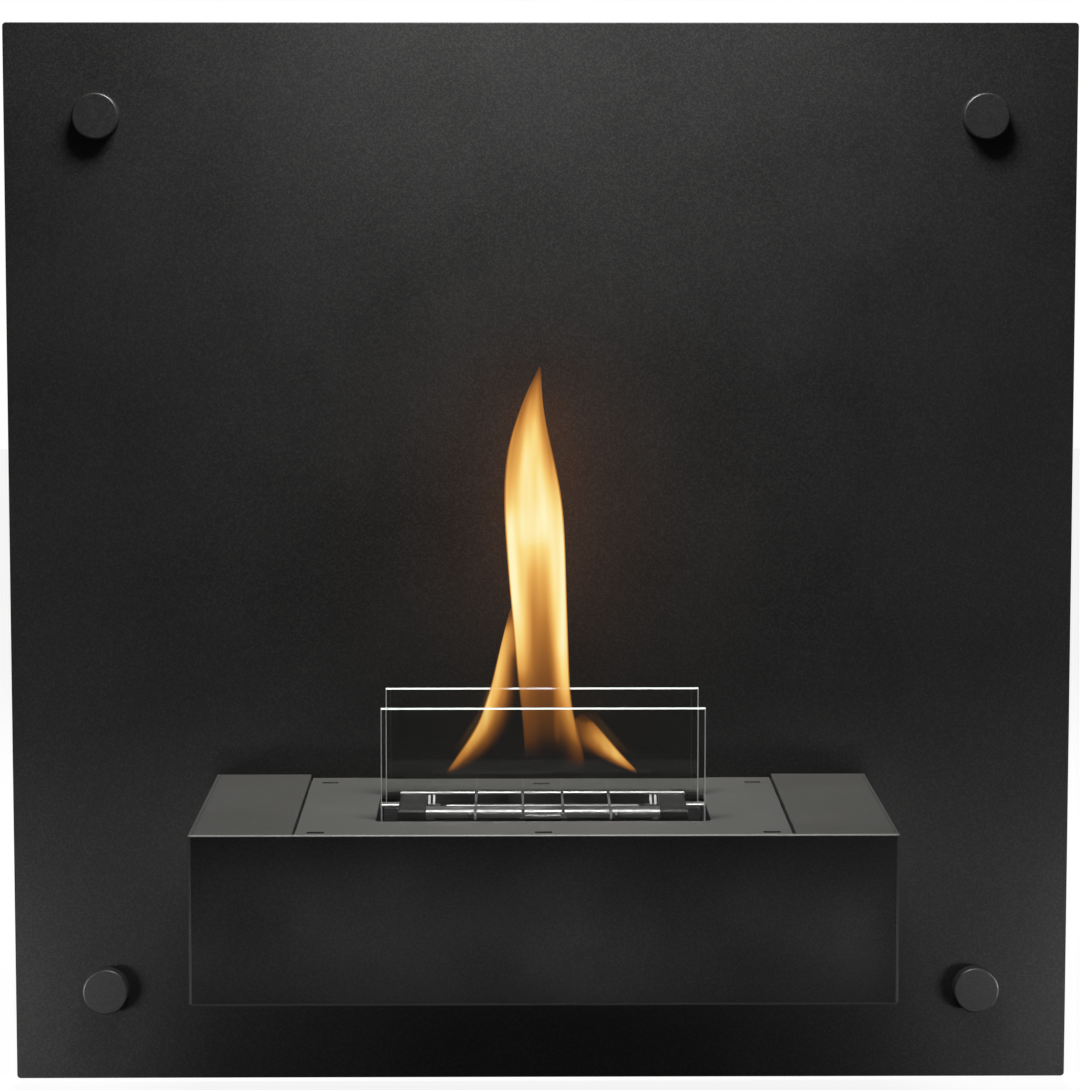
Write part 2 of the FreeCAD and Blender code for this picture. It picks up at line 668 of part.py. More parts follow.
def make_burner_cover():
    """Flat cover with the burner's opening and six slots for the rails' tabs."""
    body = new_body("burner_cover")
    outline = sketch(body, "cover_outline", "XY_Plane", "rail_top", [rectangle(
        "-cover_width / 2", "cover_width / 2", "box_inner_front + seam", "plate_front - seam")])
    pad(body, "cover_blank", outline, "cover_thickness")
    hole = sketch(body, "cover_opening_outline", "XY_Plane", "cover_top", [rectangle(
        "-(well_x)", "well_x", "burner_middle - well_y", "burner_middle + well_y")])
    opened = pocket(body, "cover_opening", hole, "cover_thickness")
    reach = table.opening_width / 2 + NEAR
    middle = doc.getObject("cover_opening_outline").Shape.BoundBox.Center.y
    half = table.opening_depth / 2 + NEAR

    def corner(edge):
        box = edge.BoundBox
        return runs(edge, "z") and abs(box.XMin) < reach and abs(box.YMin - middle) < half

    ease(body, "cover_opening_corners", "Fillet", opened, corner, "opening_corner")
    shelves = (("box_inner_front", "front_rail_edge"), ("rear_rail_edge", "plate_front"))
    slots = [rectangle(f"{x} - tab_width / 2 - slot_play_side", f"{x} + tab_width / 2 + slot_play_side",
                       *tab_depth(flat, "sheet / 2 + slot_play_deep"))
             for flat in shelves for x in tab_columns()]
    cuts = sketch(body, "cover_slot_outline", "XY_Plane", "cover_top", slots)
    pocket(body, "cover_slots", cuts, "cover_thickness")
    keep(body, "burner_cover")


def make_burner_well():
    """Trough under the opening, with a flange round its top that is welded under the cover."""
    body = new_body("burner_well")

    def loop(reach):
        return rectangle(f"-(well_x + {reach})", f"well_x + {reach}",
                         f"burner_middle - (well_y + {reach})", f"burner_middle + well_y + {reach}")

    walls = sketch(body, "well_outline", "XY_Plane", "well_floor - well_sheet", [loop("well_sheet")])
    pad(body, "well_blank", walls, "rail_top - (well_floor - well_sheet)")
    brim = sketch(body, "well_brim_outline", "XY_Plane", "rail_top - well_sheet",
                  [loop("well_sheet + well_flange")])
    pad(body, "well_brim", brim, "well_sheet")
    inside = sketch(body, "well_inside", "XY_Plane", "rail_top", [loop("0")])
    pocket(body, "well_hollow", inside, "rail_top - well_floor")
    keep(body, "burner_well")


def make_glass():
    """Two panes, the channels that they stand in and the soft strips under them."""
    strips = []
    for name, way in (("front", "-"), ("rear", "+")):
        middle = f"burner_middle {way} glass_offset"
        pane = new_body(f"{name}_glass")
        outline = sketch(pane, f"{name}_glass_outline", "XZ_Plane", f"-({middle}) - glass_thickness / 2",
                         [rectangle("-(glass_x)", "glass_x", "glass_foot", "cover_top + glass_rise")])
        blank = pad(pane, f"{name}_glass_blank", outline, "glass_thickness")
        ease(pane, f"{name}_glass_arris", "Chamfer", blank, lambda edge: not runs(edge, "y"), "glass_arris")
        keep(pane, f"{name}_glass")

        half = "glass_thickness / 2 + glass_play"
        span = ("-(well_x - channel_end_gap)", "well_x - channel_end_gap")
        top = "channel_floor + channel_height"
        outside = slab(f"{name}_channel_outside", span,
                       (f"{middle} - ({half}) - channel_wall", f"{middle} + {half} + channel_wall"),
                       ("channel_floor - channel_wall", top))
        groove = slab(f"{name}_channel_groove", span, (f"{middle} - ({half})", f"{middle} + {half}"),
                      ("channel_floor", top))
        keep(cut(f"{name}_channel", outside, groove), f"{name}_glass_channel")
        strips.append(slab(f"{name}_strip", ("-(glass_x)", "glass_x"),
                           (f"{middle} - glass_thickness / 2", f"{middle} + glass_thickness / 2"),
                           ("channel_floor", "glass_foot")))
    keep(group("glass_strips", *strips), "glass_strips")


# The burner

def make_fuel_tank():
    """Open tank that stands on the floor of the well."""
    body = new_body("fuel_tank")
    outline = sketch(body, "tank_outline", "XY_Plane", "well_floor", [burner_loop("tank_x", "tank_y")])
    blank = pad(body, "tank_blank", outline, "deck - deck_thickness - well_floor")
    ease(body, "tank_corners", "Fillet", blank, lambda edge: runs(edge, "z"), "tank_corner")
    inside = sketch(body, "tank_inside", "XY_Plane", "deck - deck_thickness",
                    [burner_loop("tank_x - tank_wall", "tank_y - tank_wall")])
    pocket(body, "tank_hollow", inside, "deck - deck_thickness - well_floor - tank_wall")
    keep(body, "fuel_tank")


def burner_loop(half_x, half_y):
    """A rectangle about the burner's middle."""
    return rectangle(f"-({half_x})", half_x, f"burner_middle - ({half_y})", f"burner_middle + {half_y}")


def make_tank_filling():
    """Ceramic block that soaks up the fuel, and the perforated screen that lies on it."""
    depth = ("burner_middle - screen_y", "burner_middle + screen_y")
    span = ("-(screen_x)", "screen_x")
    keep(slab("ceramic_block", span, depth, ("well_floor + tank_wall", "ceramic_top")), "ceramic_block")
    body = new_body("perforated_screen")
    outline = sketch(body, "screen_outline", "XY_Plane", "ceramic_top", [burner_loop("screen_x", "screen_y")])
    pad(body, "screen_blank", outline, "screen_thickness")
    rows = [2 * row / (SCREEN_ROWS - 1) - 1 for row in range(SCREEN_ROWS)]
    column = sketch(body, "screen_hole_outline", "XY_Plane", "ceramic_top + screen_thickness", circles=[
        ("-(screen_reach_x)", f"burner_middle + screen_reach_y * ({row})", "screen_hole / 2")
        for row in rows])
    holes = pocket(body, "screen_holes", column, "screen_thickness")
    pattern = body.newObject("PartDesign::LinearPattern", "screen_pattern")
    pattern.Originals = [holes]
    pattern.Direction = (column, ["H_Axis"])
    pattern.Occurrences = SCREEN_COLUMNS
    bind(pattern, "Length", "2 * screen_reach_x")
    body.Tip = pattern
    doc.recompute()
    keep(body, "perforated_screen")


def make_tank_top():
    """Top plate of the tank with the mouth that the flame comes out of."""
    body = new_body("tank_top")
    outline = sketch(body, "deck_outline", "XY_Plane", "deck - deck_thickness",
                     [burner_loop("burner_x", "burner_y")])
    pad(body, "deck_blank", outline, "deck_thickness")
    mouth = sketch(body, "mouth_outline", "XY_Plane", "deck", [rectangle(
        "-(mouth_x)", "mouth_x", "mouth_front", "mouth_back")])
    pocket(body, "mouth", mouth, "deck_thickness")
    keep(body, "tank_top")


def make_end_blocks():
    """Dark blocks at both ends of the burner, each with a bent lug that locates it in the well."""
    for side, sign in SIDES.items():
        name = f"{side}_end_block"
        body = new_body(name)
        outline = sketch(body, f"{name}_outline", "XY_Plane", "deck", [rectangle(
            f"{sign}(block_in)", f"{sign}(burner_x)", "burner_front", "mouth_back")])
        blank = pad(body, f"{name}_blank", outline, "block_height")
        top = blank.Shape.BoundBox.ZMax
        ease(body, f"{name}_chamfer", "Chamfer", blank, lambda edge: at(edge, "z", top), "block_chamfer")
        keep(body, name)

        name = f"{side}_end_lug"
        body = new_body(name)
        top = "burner_top - block_chamfer"
        end = "well_x - lug_gap"
        strip = [("burner_x", top), (end, top), (end, f"{top} - lug_drop"),
                 (f"{end} - lug_sheet", f"{top} - lug_drop"), (f"{end} - lug_sheet", f"{top} - lug_sheet"),
                 ("burner_x", f"{top} - lug_sheet")]
        outline = sketch(body, f"{name}_outline", "XZ_Plane", "-(burner_middle) - lug_width / 2",
                         [[(f"{sign}({x})", z) for x, z in strip]])
        blank = pad(body, f"{name}_blank", outline, "lug_width")
        box = blank.Shape.BoundBox
        outer = box.XMin if sign else box.XMax

        def bend(edge):
            return runs(edge, "y") and at(edge, "x", outer) and at(edge, "z", box.ZMax)

        bent = ease(body, f"{name}_bend", "Fillet", blank, bend, "lug_bend")
        ease(body, f"{name}_roll", "Fillet", bent, front_top(box), "lug_round")
        keep(body, name)


def make_rims():
    """Bright rims behind and in front of the mouth, notched for the cross bars, the rivets and the hood."""
    rims = {
        "rear_rim": ("burner_x", "mouth_back", "burner_back", "deck", "burner_top + rear_rim_rise",
                     "rear_rim_round"),
        "front_rim": ("block_in", "burner_front", "burner_front + front_rim_depth", "rim_floor", "burner_top",
                      "front_rim_round"),
    }
    for name, (end, front, back, floor, top, rounding) in rims.items():
        body = new_body(name)
        outline = sketch(body, f"{name}_outline", "XY_Plane", floor,
                         [rectangle(f"-({end})", end, front, back)])
        blank = pad(body, f"{name}_blank", outline, f"{top} - {floor}")
        ease(body, f"{name}_roll", "Fillet", blank, front_top(blank.Shape.BoundBox), rounding)
        notches = [rectangle(f"{x} - notch_half", f"{x} + notch_half", front, back) for x in bar_columns()]
        cuts = sketch(body, f"{name}_notch_outline", "XY_Plane", top, notches)
        pocket(body, f"{name}_notches", cuts, f"{top} - bar_floor")
        keep(body, name)

    head = dome("rivet_head", "rivet_diameter / 2",
                ("block_in - rivet_inset", "burner_front", "burner_top - rivet_drop"))
    keep(both_sides("rim_rivets", head), "rim_rivets")

    hood = new_body("tongue_hood")
    outline = sketch(hood, "hood_outline", "XZ_Plane", "-(burner_front)", [[
        ("hood_foot / 2", "rim_floor"), ("hood_width / 2", "rim_floor + hood_height"),
        ("-hood_width / 2", "rim_floor + hood_height"), ("-hood_foot / 2", "rim_floor")]])
    blank = pad(hood, "hood_blank", outline, "hood_reach")
    ease(hood, "hood_roll", "Fillet", blank, front_top(blank.Shape.BoundBox), "hood_round")
    keep(hood, "tongue_hood")


def bar_columns():
    """X of the four cross bars, from left to right."""
    outer, inner = "(mouth_x - bar_end_gap)", "bar_middle_gap / 2"
    return [f"-{outer}", f"-{inner}", inner, outer]


def make_cross_bars():
    """Thin bars across the mouth, let into the rims, the outer two bent down at the front."""
    bars = []
    columns = bar_columns()
    for index, x in enumerate(columns):
        outer = index in (0, len(columns) - 1)
        front = "burner_front" if outer else "burner_front + bar_inset"
        bar = slab(f"bar_{index}", (f"{x} - bar_width / 2", f"{x} + bar_width / 2"),
                   (front, "burner_back - bar_inset"), ("bar_floor", "bar_top"))
        if outer:
            leg = new_body(f"bar_leg_{index}")
            tip = "burner_front - leg_reach"
            outline = sketch(leg, f"bar_leg_outline_{index}", "YZ_Plane", f"{x} - bar_width / 2", [[
                ("burner_front", "bar_floor"), ("burner_front", "bar_top"),
                (tip, "bar_top - leg_drop"), (tip, "bar_floor - leg_drop")]])
            pad(leg, f"bar_leg_strip_{index}", outline, "bar_width")
            bar = fuse(f"bent_bar_{index}", bar, leg)
        bars.append(bar)
    keep(group("cross_bars", *bars), "cross_bars")


def make_damper():
    """Sliding plate that shuts the mouth, with a rolled lip at its back and a tongue at its front."""
    level = ("damper_floor", "damper_top")
    front = "burner_front + damper_margin"
    plate = slab("damper_plate", ("-(damper_x)", "damper_x"), (front, "mouth_front"), level)
    roll = "lip_top - lip_bead"
    lip = slab("damper_lip", ("-(lip_x)", "lip_x"), ("mouth_front - damper_thickness", "mouth_front"),
               ("damper_floor", roll))
    bead = rod("damper_bead", "x", "lip_bead", "-(lip_x)", "lip_x", ("mouth_front - lip_bead", roll))
    reach = "burner_front - burner_side_gap + tongue_gap"
    tongue = slab("damper_tongue", ("-tongue_width / 2", "tongue_width / 2"), (reach, "mouth_front"), level)
    keep(fuse("damper_folded", plate, lip, bead, tongue), "damper")


def make_springs():
    """Sloping two-pronged clips beside the mouth that keep the damper in line."""
    for side, sign in SIDES.items():
        name = f"{side}_damper_spring"
        body = new_body(name)
        back = "mouth_back - spring_play"
        bend = f"{back} - spring_run"
        tip = f"{bend} - spring_foot"
        strip = [(back, "deck + spring_height - spring_sheet"), (back, "deck + spring_height"),
                 (bend, "deck + spring_sheet"), (tip, "deck + spring_sheet"), (tip, "deck"), (bend, "deck")]
        near = "-(spring_out)" if sign else "spring_in"
        outline = sketch(body, f"{name}_outline", "YZ_Plane", near, [strip])
        pad(body, f"{name}_strip", outline, "spring_out - spring_in")
        slot = sketch(body, f"{name}_slot_outline", "XY_Plane", "deck + spring_height", [rectangle(
            f"{sign}(spring_in + spring_prong)", f"{sign}(spring_out - spring_prong)", bend, back)])
        pocket(body, f"{name}_slot", slot, "spring_height")
        keep(body, name)


# Checks and files

def check():
    """Stops if anything failed to build."""
    doc.recompute()
    for item in doc.Objects:
        if "Invalid" in item.State or "Error" in item.State:
            raise RuntimeError(f"{item.Name} failed: {item.State}")
    for item in nodes:
        if item.Shape.isNull() or not item.Shape.isValid() or not item.Shape.Solids:
            raise RuntimeError(f"{item.Label} has no sound shape")


def write():
    """Writes one file for each sub-part."""
    os.makedirs("parts", exist_ok=True)
    for item in nodes:
        item.Shape.exportStep(os.path.join("parts", f"{item.Label}.step"))
        print(f"{item.Label}: {len(item.Shape.Solids)} solids, {item.Shape.Volume:.0f} mm3")


make_back_plate()
make_standoffs()
make_box_shell()
make_box_fasteners()
make_rails()
make_end_covers()
make_burner_cover()
make_burner_well()
make_glass()
make_fuel_tank()
make_tank_filling()
make_tank_top()
make_end_blocks()
make_rims()
make_cross_bars()
make_damper()
make_springs()
check()
write()
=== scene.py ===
"""Looks of the wall-hung bioethanol fireplace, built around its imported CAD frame.

The CAD nodes keep their shapes and get finishes. The flame, which is no solid, is modelled here. Metres,
+Z up, the front faces -Y, and the origin is the middle of the wall fixings, on the wall.
"""

import json
import logging
import math
from collections.abc import Iterable
from dataclasses import dataclass, replace
from enum import Enum, IntEnum
from itertools import pairwise
from typing import Any

import bpy
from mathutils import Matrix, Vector


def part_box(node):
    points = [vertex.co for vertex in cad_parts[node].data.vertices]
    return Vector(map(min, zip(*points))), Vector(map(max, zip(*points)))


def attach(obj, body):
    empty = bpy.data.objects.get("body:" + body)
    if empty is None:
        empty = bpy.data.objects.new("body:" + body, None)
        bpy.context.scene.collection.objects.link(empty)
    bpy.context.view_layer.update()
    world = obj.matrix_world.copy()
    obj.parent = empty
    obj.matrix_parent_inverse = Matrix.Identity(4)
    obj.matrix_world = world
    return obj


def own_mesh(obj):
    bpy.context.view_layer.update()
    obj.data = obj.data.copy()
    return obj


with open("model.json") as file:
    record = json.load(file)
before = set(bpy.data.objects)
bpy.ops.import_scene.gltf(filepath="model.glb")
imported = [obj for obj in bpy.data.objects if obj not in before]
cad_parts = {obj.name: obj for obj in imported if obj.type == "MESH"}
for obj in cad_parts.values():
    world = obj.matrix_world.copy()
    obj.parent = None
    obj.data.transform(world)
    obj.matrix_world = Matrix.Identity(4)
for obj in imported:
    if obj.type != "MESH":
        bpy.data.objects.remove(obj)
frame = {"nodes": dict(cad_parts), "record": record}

LOG = logging.getLogger("fireplace")
MM = 0.001
PHOTO_LONG_SIDE = 1090
FLOOR_GAP_MM = 2.0

# Most of a noise pattern's values lie between these two.
NOISE_LOW = 0.3
NOISE_HIGH = 0.7
# The wave pattern turns through this angle, in radians, over one unit of its scale.
WAVE_ANGLE = 20.0

Point = tuple[float, float, float]
Box = tuple[Vector, Vector]


# Small tools

def linear(code: str) -> tuple[float, float, float, float]:
    """Turns an sRGB hex colour into the linear values that a socket takes.

    Args:
        code: the colour as "#rrggbb".

    Returns:
        Red, green, blue and an alpha of 1.
    """
    parts = [int(code[i:i + 2], 16) / 255 for i in (1, 3, 5)]
    return (*[p / 12.92 if p <= 0.04045 else ((p + 0.055) / 1.055) ** 2.4 for p in parts], 1.0)


def grain(millimetres: float) -> float:
    """The scale of a noise or cell pattern whose grains have that size."""
    return 1 / (millimetres * MM)


def add(tree: bpy.types.NodeTree, kind: str, settings: dict[Any, Any] | None = None,
        links: dict[Any, bpy.types.NodeSocket] | None = None) -> bpy.types.Node:
    """Adds one node with its settings and links.

    Args:
        tree: the node tree.
        kind: Blender's name of the node's type, without the "ShaderNode" that all of them begin with.
        settings: values by the name of a property or by the name or number of an input; "stops" gives
            a colour ramp its places and hex colours, and "points" gives a curve its points.
        links: the output that feeds each input, by the input's name or number.

    Returns:
        The new node.
    """
    node = tree.nodes.new("ShaderNode" + kind)
    for name, value in (settings or {}).items():
        if name == "stops":
            while len(node.color_ramp.elements) < len(value):
                node.color_ramp.elements.new(1.0)
            for element, (place, colour) in zip(node.color_ramp.elements, value):
                element.position = place
                element.color = linear(colour)
        elif name == "points":
            curve = node.mapping.curves[0]
            while len(curve.points) < len(value):
                curve.points.new(1.0, 0.0)
            for point, place in zip(curve.points, value):
                point.location = place
                point.handle_type = "AUTO_CLAMPED"
            node.mapping.update()
        elif isinstance(name, str) and name in node.bl_rna.properties:
            setattr(node, name, value)
        else:
            node.inputs[name].default_value = value
    for name, source in (links or {}).items():
        tree.links.new(source, node.inputs[name])
    return node


def fresh_tree(owner: bpy.types.Material | bpy.types.World) -> bpy.types.NodeTree:
    """Gives a material or a world an empty node tree.

    Args:
        owner: the material or the world.

    Returns:
        Its tree, without nodes.
    """
    owner.use_nodes = True
    owner.node_tree.nodes.clear()
    return owner.node_tree


def start_fresh() -> None:
    """Leaves edit mode and deselects everything, so that an operator acts on the new piece alone."""
    if bpy.context.object and bpy.context.object.mode != "OBJECT":
        bpy.ops.object.mode_set(mode="OBJECT")
    bpy.ops.object.select_all(action="DESELECT")


# Finishes

@dataclass(frozen=True)
class Surface:
    """A material in the making: its nodes, its Principled shader and the piece's Object coordinates."""

    tree: bpy.types.NodeTree
    shader: bpy.types.Node
    where: bpy.types.NodeSocket

    def feed(self, sources: dict[str, bpy.types.NodeSocket]) -> None:
        """Links each source to the shader's input of that name."""
        for name, source in sources.items():
            self.tree.links.new(source, self.shader.inputs[name])


def new_surface(name: str, constants: dict[str, Any]) -> tuple[bpy.types.Material, Surface]:
    """Starts a material with a Principled shader, whose constants stand on the shader's own sockets.

    Args:
        name: the material's name.
        constants: the shader's values that are the same all over.

    Returns:
        The material, and its surface for more nodes.
    """
    material = bpy.data.materials.new(name)
    tree = fresh_tree(material)
    shader = add(tree, "BsdfPrincipled", constants)
    add(tree, "OutputMaterial", links={"Surface": shader.outputs["BSDF"]})
    place = add(tree, "TexCoord")
    return material, Surface(tree, shader, place.outputs["Object"])


@dataclass(frozen=True)
class Finish:
    """What a real material and the way it was made give the eye."""

    name: str
    colour: str
    roughness: float
    metallic: float = 0.0

    def constants(self) -> dict[str, Any]:
        """The shader's values that are the same all over."""
        return {"Base Color": linear(self.colour), "Roughness": self.roughness, "Metallic": self.metallic}

    def material(self) -> bpy.types.Material:
        """Makes the material.

        Returns:
            A new material with the finish's constants and its pattern.
        """
        material, surface = new_surface(self.name, self.constants())
        self.detail(surface)
        return material

    def detail(self, surface: Surface) -> None:
        """Adds the pattern that the real surface shows."""


@dataclass(frozen=True)
class PowderCoat(Finish):
    """Polyester powder, baked on steel: a fine orange-peel sand that breaks up the light.

    The real grain is about 0.3 mm, too fine to show, so it is drawn at 0.9 mm. The turn says between which
    heights of the sand the colour turns pale, and the clouding how far the roughness strays either way.
    """

    pale: str = "#232322"
    turn: tuple[float, float] = (0.42, 0.72)
    sand_mm: float = 0.9
    sand_depth_mm: float = 0.1
    cloud_mm: float = 70.0
    clouding: float = 0.08
    bump: float = 0.22
    shine: float = 0.5

    def constants(self) -> dict[str, Any]:
        """Adds how much the coat mirrors."""
        return {**Finish.constants(self), "Specular IOR Level": self.shine}

    def detail(self, surface: Surface) -> None:
        """Sandy bump, pale specks on the grains' tops and slow clouds in the gloss.

        Args:
            surface: the material in the making.
        """
        tree = surface.tree
        at = {"Vector": surface.where}
        sand = add(tree, "TexNoise", {"Scale": grain(self.sand_mm), "Detail": 2.0}, at)
        cloud = add(tree, "TexNoise", {"Scale": grain(self.cloud_mm), "Detail": 3.0}, at)
        specks = add(tree, "ValToRGB", {"stops": list(zip(self.turn, (self.colour, self.pale)))},
                     {"Fac": sand.outputs["Fac"]})
        gloss = add(tree, "MapRange",
                    {"From Min": NOISE_LOW, "From Max": NOISE_HIGH,
                     "To Min": self.roughness - self.clouding, "To Max": self.roughness + self.clouding},
                    {"Value": cloud.outputs["Fac"]})
        relief = add(tree, "Bump", {"Strength": self.bump, "Distance": self.sand_depth_mm * MM},
                     {"Height": sand.outputs["Fac"]})
        surface.feed({"Base Color": specks.outputs["Color"], "Roughness": gloss.outputs["Result"],
                      "Normal": relief.outputs["Normal"]})


@dataclass(frozen=True)
class DrawnSteel(Finish):
    """Stainless sheet or bar with the fine lines that rolling and brushing leave along one axis.

    The turn says between which heights of the lines the tone turns bright, and the smudging between which
    multiples the roughness wanders where hands and heat have touched the steel.
    """

    line_mm: float = 0.5
    line_depth_mm: float = 0.05
    stretch: Point = (0.02, 1.0, 1.0)
    turn: tuple[float, float] = (0.3, 0.62)
    smudge_mm: float = 14.0
    smudging: tuple[float, float] = (0.75, 1.3)
    dull: str = "#8d8d8f"
    bump: float = 0.08

    def detail(self, surface: Surface) -> None:
        """Long streaks in tone and relief, with faint smudges in the gloss.

        Args:
            surface: the material in the making.
        """
        tree = surface.tree
        drawn = add(tree, "Mapping", {"Scale": self.stretch}, {"Vector": surface.where})
        lines = add(tree, "TexNoise", {"Scale": grain(self.line_mm), "Detail": 3.0},
                    {"Vector": drawn.outputs["Vector"]})
        smudge = add(tree, "TexNoise", {"Scale": grain(self.smudge_mm), "Detail": 2.0},
                     {"Vector": surface.where})
        tone = add(tree, "ValToRGB", {"stops": list(zip(self.turn, (self.dull, self.colour)))},
                   {"Fac": lines.outputs["Fac"]})
        smooth, rough = [self.roughness * share for share in self.smudging]
        gloss = add(tree, "MapRange",
                    {"From Min": NOISE_LOW, "From Max": NOISE_HIGH, "To Min": smooth, "To Max": rough},
                    {"Value": smudge.outputs["Fac"]})
        relief = add(tree, "Bump", {"Strength": self.bump, "Distance": self.line_depth_mm * MM},
                     {"Height": lines.outputs["Fac"]})
        surface.feed({"Base Color": tone.outputs["Color"], "Roughness": gloss.outputs["Result"],
                      "Normal": relief.outputs["Normal"]})


@dataclass(frozen=True)
class TurnedSteel(Finish):
    """Bar turned on a lathe: close rings round the axis, which runs along Y.

    The tool's real feed is about 0.2 mm, too fine to show, so the rings are drawn 5 mm apart.
    """

    ring_mm: float = 5.0
    ring_depth_mm: float = 0.05
    turn: tuple[float, float] = (0.2, 0.8)
    dull: str = "#6f7073"
    bump: float = 0.15

    def detail(self, surface: Surface) -> None:
        """Rings in tone and relief.

        Args:
            surface: the material in the making.
        """
        tree = surface.tree
        scale = math.tau / (WAVE_ANGLE * self.ring_mm * MM)
        rings = add(tree, "TexWave",
                    {"bands_direction": "Y", "Scale": scale, "Distortion": 0.6, "Detail": 2.0},
                    {"Vector": surface.where})
        tone = add(tree, "ValToRGB", {"stops": list(zip(self.turn, (self.dull, self.colour)))},
                   {"Fac": rings.outputs["Fac"]})
        relief = add(tree, "Bump", {"Strength": self.bump, "Distance": self.ring_depth_mm * MM},
                     {"Height": rings.outputs["Fac"]})
        surface.feed({"Base Color": tone.outputs["Color"], "Normal": relief.outputs["Normal"]})


@dataclass(frozen=True)
class ZincPlate(Finish):
    """Bright zinc on screws and nuts: bluish crystals that differ a little in tone."""

    dull: str = "#83878c"
    crystal_mm: float = 1.5

    def detail(self, surface: Surface) -> None:
        """Cells of differing tone.

        Args:
            surface: the material in the making.
        """
        cells = add(surface.tree, "TexVoronoi", {"Scale": grain(self.crystal_mm)},
                    {"Vector": surface.where})
        tone = add(surface.tree, "ValToRGB", {"stops": [(0.0, self.dull), (1.0, self.colour)]},
                   {"Fac": cells.outputs["Color"]})
        surface.feed({"Base Color": tone.outputs["Color"]})


@dataclass(frozen=True)
class MouldedRubber(Finish):
    """Silicone rubber: dull, with a soft mottle from the mould."""

    pale: str = "#2b2b2b"
    turn: tuple[float, float] = (0.35, 0.7)
    mottle_mm: float = 1.2
    mottle_depth_mm: float = 0.05
    bump: float = 0.2

    def detail(self, surface: Surface) -> None:
        """A soft mottle in tone and relief.

        Args:
            surface: the material in the making.
        """
        tree = surface.tree
        mottle = add(tree, "TexNoise", {"Scale": grain(self.mottle_mm), "Detail": 2.0},
                     {"Vector": surface.where})
        tone = add(tree, "ValToRGB", {"stops": list(zip(self.turn, (self.colour, self.pale)))},
                   {"Fac": mottle.outputs["Fac"]})
        relief = add(tree, "Bump", {"Strength": self.bump, "Distance": self.mottle_depth_mm * MM},
                     {"Height": mottle.outputs["Fac"]})
        surface.feed({"Base Color": tone.outputs["Color"], "Normal": relief.outputs["Normal"]})


@dataclass(frozen=True)
class CeramicFibre(Finish):
    """Pressed ceramic wool: chalky, with short tangled fibres and scorched patches."""

    scorched: str = "#8a7f70"
    turn: tuple[float, float] = (0.35, 0.6)
    fibre_mm: float = 0.8
    fibre_depth_mm: float = 0.3
    patch_mm: float = 12.0
    bump: float = 0.6

    def detail(self, surface: Surface) -> None:
        """Fibres in relief and patches in tone.

        Args:
            surface: the material in the making.
        """
        tree = surface.tree
        at = {"Vector": surface.where}
        fibres = add(tree, "TexNoise", {"Scale": grain(self.fibre_mm), "Detail": 6.0, "Distortion": 1.5},
                     at)
        patches = add(tree, "TexNoise", {"Scale": grain(self.patch_mm), "Detail": 3.0}, at)
        tone = add(tree, "ValToRGB", {"stops": list(zip(self.turn, (self.scorched, self.colour)))},
                   {"Fac": patches.outputs["Fac"]})
        relief = add(tree, "Bump", {"Strength": self.bump, "Distance": self.fibre_depth_mm * MM},
                     {"Height": fibres.outputs["Fac"]})
        surface.feed({"Base Color": tone.outputs["Color"], "Normal": relief.outputs["Normal"]})


@dataclass(frozen=True)
class FloatGlass(Finish):
    """Clear toughened float glass: seen by faint reflections alone, and nearly flat."""

    ior: float = 1.5
    wave_mm: float = 90.0
    wave_depth_mm: float = 0.2
    bump: float = 0.005

    def constants(self) -> dict[str, Any]:
        """Clear and smooth all over."""
        return {**Finish.constants(self), "Transmission Weight": 1.0, "IOR": self.ior}

    def detail(self, surface: Surface) -> None:
        """The slight roller waves of toughened glass.

        Args:
            surface: the material in the making.
        """
        waves = add(surface.tree, "TexNoise", {"Scale": grain(self.wave_mm), "Detail": 1.0},
                    {"Vector": surface.where})
        relief = add(surface.tree, "Bump", {"Strength": self.bump, "Distance": self.wave_depth_mm * MM},
                     {"Height": waves.outputs["Fac"]})
        surface.feed({"Normal": relief.outputs["Normal"]})


@dataclass(frozen=True)
class GroundGlass(Finish):
    """Edge of the glass, ground with a fine wheel: frosted, with a painted glow that stands in for light
    from inside the pane.
    """

    # Painted glow: its colour and strength stand in for light carried inside the pane.
    glow: str = "#f4fbf8"
    painted_glow_strength: float = 0.1
    grit_mm: float = 0.4
    grit_depth_mm: float = 0.05
    bump: float = 0.3

    def constants(self) -> dict[str, Any]:
        """A pale frosted surface with a painted glow, an emission that stands in for light from inside the
        pane.
        """
        light = {"Emission Color": linear(self.glow), "Emission Strength": self.painted_glow_strength}
        return {**Finish.constants(self), **light}

    def detail(self, surface: Surface) -> None:
        """Scratches of the grinding wheel.

        Args:
            surface: the material in the making.
        """
        grit = add(surface.tree, "TexNoise", {"Scale": grain(self.grit_mm), "Detail": 3.0},
                   {"Vector": surface.where})
        relief = add(surface.tree, "Bump", {"Strength": self.bump, "Distance": self.grit_depth_mm * MM},
                     {"Height": grit.outputs["Fac"]})
        surface.feed({"Normal": relief.outputs["Normal"]})


class Slot(Enum):
    """The record's material slots."""

    POWDER_COAT = "powder_coat"
    COVER_COAT = "cover_coat"
    WELL_COAT = "well_coat"
    STANDOFF_STEEL = "standoff_steel"
    RUBBER = "rubber"
    ZINC_STEEL = "zinc_steel"
    STAINLESS = "stainless"
    BRIGHT_STAINLESS = "bright_stainless"
    DARK_STEEL = "dark_steel"
    CERAMIC = "ceramic"
    CLEAR_GLASS = "clear_glass"


